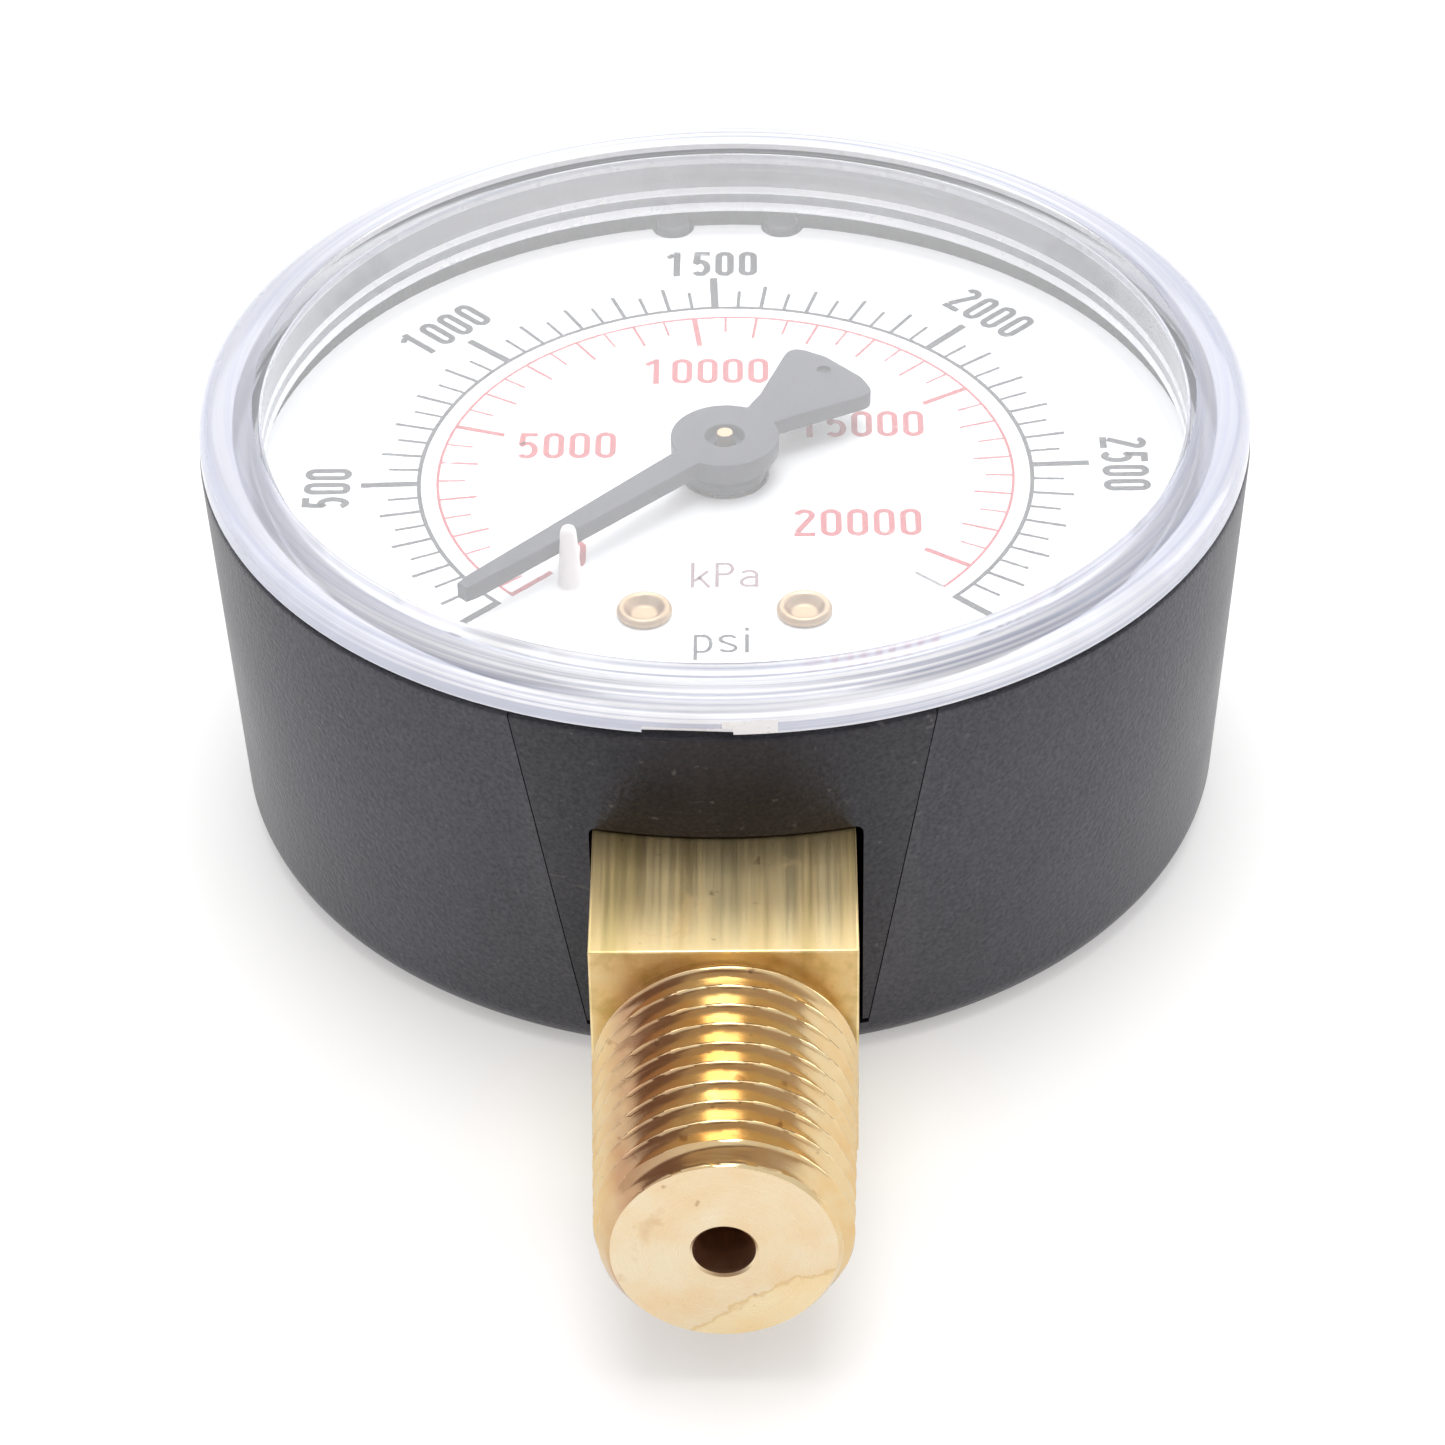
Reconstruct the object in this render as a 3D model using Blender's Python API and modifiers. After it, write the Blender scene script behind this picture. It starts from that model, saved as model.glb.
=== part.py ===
"""A 63 mm class pressure gauge with a bottom stem, lying on its back, dial up.

Metres, +Z up. The origin is the middle of the case's back, on the pointer's axis.
The stem points along -Y. Sizes in the constants are in millimetres.
"""

import math

import bmesh
import bpy
from mathutils import Matrix, Vector

MM = 0.001
GAP = 0.3
ROUND = 72

# Case and lens
RIM_RADIUS = 29.8
RIM_Z = 23.3
BACK_RADIUS = 28.6
BACK_EDGE = 1.9
CASE_INNER_RIM = 27.9
CASE_INNER_BACK = 26.9
FLOOR_Z = 2.0
LENS_TOP_Z = 26.0
LENS_FACE_RADIUS = 26.7
LENS_UNDER_Z = 23.8
SKIRT_OUTER = 27.6
SKIRT_INNER = 26.4
SKIRT_Z = 19.6
LENS_NOTCH_TURN = -3.5
LENS_NOTCH_WIDTH = 4.8

# Wedge that closes the stem's slot: half width at its foot, and how fast it widens
SLOT_FLOOR_Z = 1.9
SLOT_HALF_AT_FLOOR = 7.75
SLOT_FLARE = 0.166
SEAM = 0.2
SLOT_INNER_Y = -24.5
OPENING_GAP = 0.25

# Socket: wrench square, thread (1/4-18 NPT) and the block inside the case
SQUARE = 14.0
STEM_Z = 9.4
SHOULDER_Y = -38.6
FLATS_END_Y = -29.8
STEM_END_Y = -53.5
THREAD_PITCH = 25.4 / 18
THREAD_DEPTH = 0.95
THREAD_END_RADIUS = 6.54
THREAD_TAPER = 1 / 32
THREAD_CHAMFER = (0.8, 1.2)
NECK_LENGTH = 0.9
NECK_RADIUS = 5.9
BORE_RADIUS = 1.6
BLOCK_HALF = 6.8
BLOCK_FRONT_Y = -19.2
STEP_END_Y = -8.5
STEP_Z = 7.6
STEP_HALF = 6.0
CROSS_BORE_Y = -23.6
CROSS_BORE_RADIUS = 0.9
FEED_BORE_RADIUS = 0.7

# Dial
DIAL_RADIUS = 27.0
DIAL_Z = 18.3
DIAL_THICK = 1.0
POST_RADIUS = 1.0
POST_ANGLES = (82.8, 97.1)
STOP_PIN = (-8.6, -10.5)
STOP_PIN_TOP_Z = 22.2
EYELETS = ((-4.42, -13.43), (4.42, -13.43))

# Pointer, resting against the stop pin
REST_ANGLE = 225.0
POINTER_Z = 20.0
POINTER_THICK = 1.0
POINTER_LENGTH = 20.3
TAIL_LENGTH = 9.3
HUB_RADIUS = 3.1
HUB_HOLE = 1.3
BUSHING_BORE = 0.7
BUSHING_TOP_Z = 21.1
ARBOR_TOP_Z = 21.2

# Movement
ARBOR_RADIUS = 0.45
PIVOT_HOLE = 0.75
PILLAR_RADIUS = 1.2
GEAR_MODULE = 0.25
PINION_TEETH = 10
SECTOR_TEETH = 60
SECTOR_SWING = 45.0
SECTOR_PIVOT = (-8.85, 0.0)
SECTOR_Z = 12.4
SECTOR_THICK = 0.8
TAIL_RADIUS = 2.4
TAIL_REST_ANGLE = 157.23
LINK_REST_ANGLE = 112.4
LINK_LENGTH = 5.0
TIP_PIN_RADIUS = 14.2
TIP_PIN_ANGLE = 156.9
BOTTOM_PLATE = (7.9, 8.7)
TOP_PLATE = (14.6, 15.4)
PILLARS = ((4.5, 7.5), (4.5, -7.8), (-6.0, -9.2))
MOUNT_SCREWS = ((3.2, -11.5), (-2.2, -11.5))

# Helical Bourdon tube, wound clockwise from its root in the socket
TUBE_RADIUS = 17.5
TUBE_ROOT_ANGLE = 252.0
TUBE_TURN = 444.0
TUBE_PITCH = 5.5
TUBE_ROOT_Z = 5.3
TUBE_HALF = (0.9, 2.2)
TUBE_WALL = 0.35
TUBE_TIP_Z = TUBE_ROOT_Z + TUBE_PITCH * TUBE_TURN / 360


def clear_scene():
    for obj in list(bpy.data.objects):
        bpy.data.objects.remove(obj, do_unlink=True)


def new_collection(name):
    collection = bpy.data.collections.new(name)
    bpy.context.scene.collection.children.link(collection)
    return collection


def material(name, colour, roughness, metallic=0.0, transmission=0.0):
    made = bpy.data.materials.new(name)
    made.use_nodes = True
    shader = made.node_tree.nodes["Principled BSDF"]
    shader.inputs["Base Color"].default_value = (*colour, 1.0)
    shader.inputs["Roughness"].default_value = roughness
    shader.inputs["Metallic"].default_value = metallic
    shader.inputs["Transmission Weight"].default_value = transmission
    return made


def polar(radius, degrees, centre=(0.0, 0.0)):
    angle = math.radians(degrees)
    return (centre[0] + radius * math.cos(angle), centre[1] + radius * math.sin(angle))


def arc(radius, start, end, steps, centre=(0.0, 0.0)):
    return [polar(radius, start + (end - start) * i / steps, centre) for i in range(steps + 1)]


def circle(radius, centre=(0.0, 0.0), steps=24):
    return arc(radius, 0, 360 - 360 / steps, steps - 1, centre)


def place(obj, collection, look=None):
    collection.objects.link(obj)
    if look:
        obj.data.materials.append(look)
    else:
        obj.hide_render = True
        obj.display_type = "WIRE"
    return obj


def turned(name, profile, collection, look=None, at=(0.0, 0.0), steps=48, closed=True):
    """A turned piece about Z. The profile of (radius, z) runs down its outer side."""
    mesh = bpy.data.meshes.new(name)
    points = [(r * MM, 0.0, z * MM) for r, z in profile]
    edges = [(i, i + 1) for i in range(len(points) - 1)]
    if closed:
        edges.append((len(points) - 1, 0))
    mesh.from_pydata(points, edges, [])
    obj = bpy.data.objects.new(name, mesh)
    obj.location = (at[0] * MM, at[1] * MM, 0.0)
    screw = obj.modifiers.new("Turn", "SCREW")
    screw.steps = screw.render_steps = steps
    screw.use_merge_vertices = True
    screw.merge_threshold = 0.00001
    screw.use_smooth_shade = True
    return place(obj, collection, look)


def flat(name, loops, z, thick, collection, look=None, at=(0.0, 0.0)):
    """A flat piece from closed outlines; a loop inside another is a hole."""
    curve = bpy.data.curves.new(name, "CURVE")
    curve.dimensions = "2D"
    curve.fill_mode = "BOTH"
    curve.extrude = thick / 2 * MM
    for loop in loops:
        spline = curve.splines.new("POLY")
        spline.points.add(len(loop) - 1)
        for point, (x, y) in zip(spline.points, loop):
            point.co = ((x - at[0]) * MM, (y - at[1]) * MM, 0.0, 1.0)
        spline.use_cyclic_u = True
    obj = bpy.data.objects.new(name, curve)
    obj.location = (at[0] * MM, at[1] * MM, (z + thick / 2) * MM)
    return place(obj, collection, look)


def box(name, low, high, collection, look=None, turn=0.0):
    """A box between two corners, turned about the world's Z axis by degrees."""
    shape = bmesh.new()
    bmesh.ops.create_cube(shape, size=1.0)
    size = [(b - a) * MM for a, b in zip(low, high)]
    middle = Vector([(a + b) / 2 * MM for a, b in zip(low, high)])
    bmesh.ops.scale(shape, vec=size, verts=shape.verts)
    bmesh.ops.translate(shape, vec=middle, verts=shape.verts)
    bmesh.ops.rotate(shape, cent=(0, 0, 0), matrix=Matrix.Rotation(math.radians(turn), 3, "Z"),
                     verts=shape.verts)
    mesh = bpy.data.meshes.new(name)
    shape.to_mesh(mesh)
    shape.free()
    return place(bpy.data.objects.new(name, mesh), collection, look)


def rod(name, start, end, radius, collection, look=None, sides=24, end_radius=None):
    """A cylinder or cone between two points."""
    start, end = Vector(start) * MM, Vector(end) * MM
    axis = end - start
    shape = bmesh.new()
    bmesh.ops.create_cone(
        shape, cap_ends=True, segments=sides, radius1=radius * MM,
        radius2=(radius if end_radius is None else end_radius) * MM, depth=axis.length)
    turn = Vector((0, 0, 1)).rotation_difference(axis).to_matrix().to_4x4()
    bmesh.ops.transform(shape, matrix=Matrix.Translation((start + end) / 2) @ turn,
                        verts=shape.verts)
    mesh = bpy.data.meshes.new(name)
    shape.to_mesh(mesh)
    shape.free()
    return place(bpy.data.objects.new(name, mesh), collection, look)


def lofted(name, rings, collection, look=None, hollow=None):
    """A skin over rings of points, capped, or joined to the inner rings at both ends."""
    mesh = bpy.data.meshes.new(name)
    sides = len(rings[0])
    loops = list(rings) + (list(reversed(hollow)) if hollow else [])
    points = [Vector(p) * MM for ring in loops for p in ring]
    faces = []
    count = len(loops)
    for i in range(count if hollow else count - 1):
        a, b = i * sides, (i + 1) % count * sides
        faces += [(a + j, a + (j + 1) % sides, b + (j + 1) % sides, b + j) for j in range(sides)]
    if not hollow:
        faces.append(tuple(reversed(range(sides))))
        faces.append(tuple(range((count - 1) * sides, count * sides)))
    mesh.from_pydata(points, [], faces)
    shape = bmesh.new()
    shape.from_mesh(mesh)
    bmesh.ops.recalc_face_normals(shape, faces=shape.faces)
    shape.to_mesh(mesh)
    shape.free()
    mesh.shade_smooth()
    mesh.set_sharp_from_angle(angle=math.radians(35))
    return place(bpy.data.objects.new(name, mesh), collection, look)


def combine(obj, other, operation):
    cut = obj.modifiers.new(operation.title(), "BOOLEAN")
    cut.operation = operation
    cut.object = other
    return obj


def as_mesh(obj):
    """The curve object as a mesh object with welded caps, under the same name."""
    name, look = obj.name, list(obj.data.materials)
    graph = bpy.context.evaluated_depsgraph_get()
    mesh = bpy.data.meshes.new_from_object(obj.evaluated_get(graph))
    shape = bmesh.new()
    shape.from_mesh(mesh)
    bmesh.ops.remove_doubles(shape, verts=shape.verts, dist=1e-6)
    bmesh.ops.recalc_face_normals(shape, faces=shape.faces)
    shape.to_mesh(mesh)
    shape.free()
    collection, matrix = obj.users_collection[0], obj.matrix_world.copy()
    hidden = obj.hide_render
    bpy.data.objects.remove(obj, do_unlink=True)
    made = bpy.data.objects.new(name, mesh)
    made.matrix_world = matrix
    place(made, collection, look[0] if look and not hidden else None)
    return made


def case_radius(z):
    """Outer radius of the case wall, which leans out towards the rim."""
    return BACK_RADIUS + (RIM_RADIUS - BACK_RADIUS) * (z - BACK_EDGE) / (RIM_Z - BACK_EDGE)


def slot_prism(name, inset, low_z, high_z, collection):
    """The flared slot's shape, through the wall at -Y."""
    def half(z):
        return SLOT_HALF_AT_FLOOR + SLOT_FLARE * (z - SLOT_FLOOR_Z) - inset

    rings = []
    for y in (-RIM_RADIUS - 2, SLOT_INNER_Y):
        rings.append([(-half(low_z), y, low_z), (half(low_z), y, low_z),
                      (half(high_z), y, high_z), (-half(high_z), y, high_z)])
    return lofted(name, rings, collection)


def make_case(parts, cutters, look):
    corner = [(BACK_RADIUS - BACK_EDGE + BACK_EDGE * math.cos(a), BACK_EDGE - BACK_EDGE * math.sin(a))
              for a in (math.radians(15 * i) for i in range(7))]
    outer = [(RIM_RADIUS - 0.25, RIM_Z), (RIM_RADIUS, RIM_Z - 0.25), *corner, (0.0, 0.0)]
    inner = [(0.0, FLOOR_Z), (CASE_INNER_BACK - 1.2, FLOOR_Z), (CASE_INNER_BACK, FLOOR_Z + 1.2),
             (CASE_INNER_RIM, DIAL_Z), (CASE_INNER_RIM, RIM_Z)]
    case = turned("case", outer + inner, parts, look, steps=ROUND)
    for i, angle in enumerate(POST_ANGLES):
        x, y = polar(DIAL_RADIUS, angle)
        post = rod(f"post_{i}", (x, y, FLOOR_Z - 0.7), (x, y, DIAL_Z + 0.5), POST_RADIUS,
                   cutters, sides=16)
        combine(case, post, "UNION")
    combine(case, slot_prism("case_slot", 0.0, SLOT_FLOOR_Z, RIM_Z + 2, cutters), "DIFFERENCE")
    return case


def make_wedge(parts, cutters, look):
    inner = CASE_INNER_BACK + 0.15
    low = SLOT_FLOOR_Z + GAP
    outline = [(RIM_RADIUS - 0.25, RIM_Z), (RIM_RADIUS, RIM_Z - 0.25), (case_radius(low - 2), low - 2),
               (inner, low - 2), (inner, DIAL_Z - 1.5), (CASE_INNER_RIM, DIAL_Z - 0.5),
               (CASE_INNER_RIM, RIM_Z)]
    ring = turned("stem_wedge", outline, parts, look, steps=ROUND)
    combine(ring, slot_prism("wedge_shape", SEAM, low, RIM_Z + 2, cutters), "INTERSECT")
    half = SQUARE / 2 + OPENING_GAP
    opening = box("wedge_opening", (-half, -34, -2), (half, -24, STEM_Z + half), cutters)
    combine(ring, opening, "DIFFERENCE")
    return ring


def make_lens(parts, cutters, look):
    profile = [(0.0, LENS_TOP_Z), (LENS_FACE_RADIUS, LENS_TOP_Z), (28.7, 25.6), (29.45, 25.2),
               (RIM_RADIUS - 0.05, 24.7), (RIM_RADIUS - 0.05, RIM_Z + GAP),
               (SKIRT_OUTER, RIM_Z + GAP), (SKIRT_OUTER, SKIRT_Z + 0.3), (SKIRT_OUTER - 0.3, SKIRT_Z),
               (SKIRT_INNER, SKIRT_Z), (SKIRT_INNER, LENS_UNDER_Z), (0.0, LENS_UNDER_Z)]
    lens = turned("lens", profile, parts, look, steps=ROUND)
    for i, y in enumerate(((SKIRT_INNER - 0.9, SKIRT_OUTER + 0.9), (-SKIRT_OUTER - 0.9, 0.9 - SKIRT_INNER))):
        notch = box(f"lens_notch_{i}", (-LENS_NOTCH_WIDTH / 2, y[0], SKIRT_Z - 1),
                    (LENS_NOTCH_WIDTH / 2, y[1], RIM_Z - 0.4), cutters, turn=LENS_NOTCH_TURN)
        combine(lens, notch, "DIFFERENCE")
    return lens


def make_dial(parts, cutters, look):
    low = DIAL_Z - DIAL_THICK
    dial = rod("dial", (0, 0, low), (0, 0, DIAL_Z), DIAL_RADIUS, parts, look, sides=ROUND)
    holes = [("centre", (0.0, 0.0), 2.5)]
    holes += [(f"post_{i}", polar(DIAL_RADIUS, a), POST_RADIUS + 0.3) for i, a in enumerate(POST_ANGLES)]
    holes += [(f"eyelet_{i}", at, 1.3) for i, at in enumerate(EYELETS)]
    for name, (x, y), radius in holes:
        hole = rod(f"dial_hole_{name}", (x, y, low - 1), (x, y, DIAL_Z + 1), radius, cutters)
        combine(dial, hole, "DIFFERENCE")
    top = STOP_PIN_TOP_Z
    pin = turned("dial_pin", [(0.0, top), (0.3, top - 0.08), (0.5, top - 0.4),
                              (0.68, DIAL_Z), (0.68, DIAL_Z - 0.5), (0.0, DIAL_Z - 0.5)],
                 cutters, at=STOP_PIN, steps=20)
    return combine(dial, pin, "UNION")


def thread_radius(y, turn):
    """Radius at a place on the stem. turn is the angle round it, from 0 to 1."""
    from_end = y - STEM_END_Y
    crest = THREAD_END_RADIUS + THREAD_TAPER * from_end
    phase = (from_end / THREAD_PITCH + turn) % 1.0
    groove = max(0.0, 1.0 - abs(phase - 0.5) / 0.42)
    depth = THREAD_DEPTH * groove
    lost, length = THREAD_CHAMFER
    return min(crest - depth, crest - lost * max(0.0, 1 - from_end / length))


def make_socket(parts, cutters, look):
    half = SQUARE / 2
    socket = box("socket", (-half, SHOULDER_Y, STEM_Z - half),
                 (half, FLATS_END_Y, STEM_Z + half), parts, look)
    edge = socket.modifiers.new("Edge", "BEVEL")
    edge.width = 0.2 * MM
    edge.segments = 1
    edge.limit_method = "ANGLE"
    sides, per_turn = 28, 4
    neck_y = SHOULDER_Y - NECK_LENGTH
    count = int(round((neck_y - STEM_END_Y) / THREAD_PITCH * per_turn))
    rings = []
    for i in range(count + 1):
        y = STEM_END_Y + (neck_y - STEM_END_Y) * i / count
        ring = []
        for j in range(sides):
            angle = 2 * math.pi * j / sides
            r = thread_radius(y, j / sides)
            ring.append((r * math.cos(angle), y, STEM_Z + r * math.sin(angle)))
        rings.append(ring)
    for y in (neck_y + 0.3, SHOULDER_Y + 1.0):
        rings.append([(NECK_RADIUS * math.cos(2 * math.pi * j / sides), y,
                       STEM_Z + NECK_RADIUS * math.sin(2 * math.pi * j / sides))
                      for j in range(sides)])
    combine(socket, lofted("stem_thread", rings, cutters), "UNION")
    block = box("socket_block", (-BLOCK_HALF, FLATS_END_Y - 1, STEM_Z - BLOCK_HALF),
                (BLOCK_HALF, BLOCK_FRONT_Y, STEM_Z + BLOCK_HALF), cutters)
    step = box("socket_step", (-STEP_HALF, BLOCK_FRONT_Y - 1, STEP_Z - 5),
               (STEP_HALF, STEP_END_Y, STEP_Z), cutters)
    combine(socket, block, "UNION")
    combine(socket, step, "UNION")
    pocket_y = TUBE_RADIUS - 0.4
    pocket = box("tube_pocket", (-7.5, -pocket_y - 1.5, TUBE_ROOT_Z - 2.45),
                 (-3.9, -pocket_y + 1.9, TUBE_ROOT_Z + 3.2), cutters)
    main = rod("main_bore", (0, STEM_END_Y - 1, STEM_Z), (0, CROSS_BORE_Y + 1.1, STEM_Z), BORE_RADIUS,
               cutters)
    down = rod("cross_bore", (0, CROSS_BORE_Y, STEM_Z), (0, CROSS_BORE_Y, TUBE_ROOT_Z - 0.9),
               CROSS_BORE_RADIUS, cutters, sides=16)
    feed = rod("feed_bore", (0, CROSS_BORE_Y, TUBE_ROOT_Z), (-4.6, -pocket_y + 0.2, TUBE_ROOT_Z),
               FEED_BORE_RADIUS, cutters, sides=12)
    for cutter in (pocket, main, down, feed):
        combine(socket, cutter, "DIFFERENCE")
    for i, (x, y) in enumerate(MOUNT_SCREWS):
        hole = rod(f"mount_hole_{i}", (x, y, STEP_Z - 3), (x, y, STEP_Z + 1), 0.9, cutters, sides=16)
        combine(socket, hole, "DIFFERENCE")
    return socket


def gear_tooth(centre_angle, root, tip, pitch_angle):
    """The outline of one tooth, as (radius, degrees)."""
    return [(root, centre_angle - 0.24 * pitch_angle), (tip, centre_angle - 0.10 * pitch_angle),
            (tip, centre_angle + 0.10 * pitch_angle), (root, centre_angle + 0.24 * pitch_angle)]


def make_pinion(parts, cutters, look):
    pitch_radius = GEAR_MODULE * PINION_TEETH / 2
    step = 360 / PINION_TEETH
    outline = []
    for i in range(PINION_TEETH):
        outline += [polar(r, a) for r, a in
                    gear_tooth(180 + (i + 0.5) * step, pitch_radius - 0.35, pitch_radius + 0.2, step)]
    arbor = rod("pinion_arbor", (0, 0, BOTTOM_PLATE[0] - 0.7), (0, 0, ARBOR_TOP_Z), ARBOR_RADIUS,
                parts, look, sides=20)
    teeth = as_mesh(flat("pinion_teeth", [outline], SECTOR_Z - 0.4, 1.6, cutters))
    return combine(arbor, teeth, "UNION")


def make_sector(parts, look):
    pitch_radius = GEAR_MODULE * SECTOR_TEETH / 2
    step = 360 / SECTOR_TEETH
    middle = -SECTOR_SWING / 2
    outline = []
    for i in range(-5, 6):
        outline += [polar(r, a, SECTOR_PIVOT) for r, a in
                    gear_tooth(middle + i * step, pitch_radius - 0.35, pitch_radius + 0.2, step)]
    outline += arc(3.2, middle + 33, middle + 30, 1, SECTOR_PIVOT)
    outline += arc(1.7, middle + 70, TAIL_REST_ANGLE - 50, 3, SECTOR_PIVOT)
    tail = polar(TAIL_RADIUS, TAIL_REST_ANGLE, SECTOR_PIVOT)
    outline += arc(1.0, TAIL_REST_ANGLE + 80 - 180 + 20, TAIL_REST_ANGLE + 80, 6, tail)
    outline += arc(1.7, TAIL_REST_ANGLE + 50, middle + 360 - 70, 4, SECTOR_PIVOT)
    outline += arc(3.2, middle - 30, middle - 33, 1, SECTOR_PIVOT)
    loops = [outline, circle(PIVOT_HOLE, SECTOR_PIVOT, 16), circle(0.5, tail, 12)]
    return flat("sector_gear", loops, SECTOR_Z, SECTOR_THICK, parts, look, at=SECTOR_PIVOT)


def tube_ring(degrees, half_r, half_z, sides=10):
    """One oval section of the tube, square to its run."""
    z = TUBE_ROOT_Z + TUBE_PITCH * (TUBE_ROOT_ANGLE - degrees) / 360
    ring = []
    for k in range(sides):
        a = 2 * math.pi * k / sides
        x, y = polar(TUBE_RADIUS + half_r * math.cos(a), degrees)
        ring.append((x, y, z + half_z * math.sin(a)))
    return ring


def make_tube(parts, look):
    steps = 50
    turns = [TUBE_ROOT_ANGLE - TUBE_TURN * i / steps for i in range(steps + 1)]
    outer = [tube_ring(a, *TUBE_HALF) for a in turns]
    inner = [tube_ring(a, TUBE_HALF[0] - TUBE_WALL, TUBE_HALF[1] - TUBE_WALL) for a in turns]
    return lofted("bourdon_tube", outer, parts, look, hollow=inner)


def make_tip(parts, cutters, look):
    end = TUBE_ROOT_ANGLE - TUBE_TURN
    rings = [[(*polar(TUBE_RADIUS + dr, a), TUBE_TIP_Z + dz)
              for dr, dz in ((-1.0, -2.3), (1.0, -2.3), (1.0, 2.3), (-1.0, 2.3))]
             for a in (end - 1.0, end - 4.2, end - 7.4)]
    plug = lofted("tube_tip", rings, parts, look)
    pin = polar(TIP_PIN_RADIUS, TIP_PIN_ANGLE)
    root = polar(TUBE_RADIUS, end - 4.2)
    heading = math.degrees(math.atan2(pin[1] - root[1], pin[0] - root[0]))
    outline = arc(0.95, heading - 90, heading + 90, 8, pin)
    outline += [polar(0.95, heading + 90, root), polar(0.95, heading - 90, root)]
    lug = as_mesh(flat("tip_lug", [outline], SECTOR_Z - 0.1, 0.8, cutters))
    combine(plug, lug, "UNION")
    hole = rod("tip_hole", (*pin, SECTOR_Z - 2), (*pin, SECTOR_Z + 2), 0.6, cutters, sides=16)
    return combine(plug, hole, "DIFFERENCE")


def make_hairspring(parts, look):
    """A flat spiral strip that rises a little from the collet to the stud."""
    steps, turns = 63, 3.5
    rings = []
    for i in range(steps + 1):
        t = i / steps
        angle, r = 20 + 360 * turns * t, 1.35 + 2.9 * t
        z = 10.0 + 0.9 * t
        rings.append([(*polar(r + dr, angle), z + dz)
                      for dr, dz in ((-0.07, -0.25), (0.07, -0.25), (0.07, 0.25), (-0.07, 0.25))])
    return lofted("hairspring", rings, parts, look)


def tube_profile(inner, outer, low, high):
    return [(outer, high), (outer, low), (inner, low), (inner, high)]


def make_movement(parts, cutters, brass, steel, spring):
    def plate_outline(reach):
        return ([(-6.6, -reach), (6.4, -reach)] + arc(2.0, 0, 90, 4, (4.4, 7.5))
                + [(-3.0, 4.0)] + arc(1.8, 90, 270, 8, (-9.0, 0.0)) + [(-7.6, -5.0), (-7.6, -11.0)])

    arbor_hole = circle(PIVOT_HOLE, steps=16)
    sector_hole = circle(PIVOT_HOLE, SECTOR_PIVOT, 16)
    pillar_holes = [circle(PIVOT_HOLE, at, 12) for at in PILLARS]
    mount_holes = [circle(0.9, at, 16) for at in MOUNT_SCREWS]
    eyelet_holes = [circle(1.3, at, 16) for at in EYELETS]
    low, high = BOTTOM_PLATE
    flat("movement_bottom_plate", [plate_outline(15.0), arbor_hole, sector_hole, *pillar_holes, *mount_holes],
         low, high - low, parts, brass)
    low, high = TOP_PLATE
    flat("movement_top_plate", [plate_outline(15.2), arbor_hole, sector_hole, *pillar_holes, *eyelet_holes],
         low, high - low, parts, brass)
    foot, head = BOTTOM_PLATE[1] + GAP, TOP_PLATE[0] - GAP
    for i, at in enumerate(PILLARS, 1):
        turned(f"pillar_{i}", [(0.75, head), (PILLAR_RADIUS, head), (PILLAR_RADIUS, foot), (0.45, foot),
                               (0.45, BOTTOM_PLATE[0]),
                               (0.0, BOTTOM_PLATE[0]), (0.0, head - 2), (0.75, head - 2)],
               parts, brass, at=at, steps=16)
        top = TOP_PLATE[1] + GAP
        turned(f"pillar_screw_{i}", [(0.0, top + 0.9), (1.1, top + 0.9), (1.25, top + 0.7), (1.25, top),
                                     (0.45, top), (0.45, head - 1.6), (0.0, head - 1.6)],
               parts, steel, at=at, steps=16)
    for i, at in enumerate(MOUNT_SCREWS, 1):
        top = BOTTOM_PLATE[1] + GAP
        turned(f"mount_screw_{i}", [(0.0, top + 1.1), (1.4, top + 1.1), (1.6, top + 0.9), (1.6, top),
                                    (0.6, top), (0.6, STEP_Z - 2.6), (0.0, STEP_Z - 2.6)],
               parts, steel, at=at, steps=16)
    turned("sector_arbor", [(0.0, TOP_PLATE[1] + 0.2), (ARBOR_RADIUS, TOP_PLATE[1] + 0.2),
                            (ARBOR_RADIUS, SECTOR_Z - GAP), (1.2, SECTOR_Z - GAP), (1.2, SECTOR_Z - 0.9),
                            (ARBOR_RADIUS, SECTOR_Z - 0.9), (ARBOR_RADIUS, BOTTOM_PLATE[0] - 0.2),
                            (0.0, BOTTOM_PLATE[0] - 0.2)], parts, steel, at=SECTOR_PIVOT, steps=20)
    turned("hairspring_collet", tube_profile(0.7, 1.15, 9.5, 10.5), parts, brass, steps=20)
    make_hairspring(parts, spring)
    stud = polar(5.0, 20 + 360 * 3.5)
    foot = BOTTOM_PLATE[1] + 0.1
    turned("hairspring_stud", [(0.0, 11.4), (0.4, 11.4), (0.4, foot), (0.0, foot)], parts, brass,
           at=stud, steps=12)
    for side, at in zip(("left", "right"), EYELETS):
        turned(f"dial_eyelet_{side}", [(0.75, DIAL_Z + 0.55), (1.25, DIAL_Z + 0.65), (1.5, DIAL_Z + 0.45),
                                       (1.5, DIAL_Z + 0.2), (1.0, DIAL_Z + 0.2), (1.0, TOP_PLATE[0] + 0.1),
                                       (0.6, TOP_PLATE[0] + 0.1), (0.6, DIAL_Z + 0.3)],
               parts, brass, at=at, steps=16)
        turned(f"dial_spacer_{side}", tube_profile(1.3, 1.9, TOP_PLATE[1] + 0.2, DIAL_Z - DIAL_THICK - 0.2),
               parts, brass, at=at, steps=16)


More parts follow.
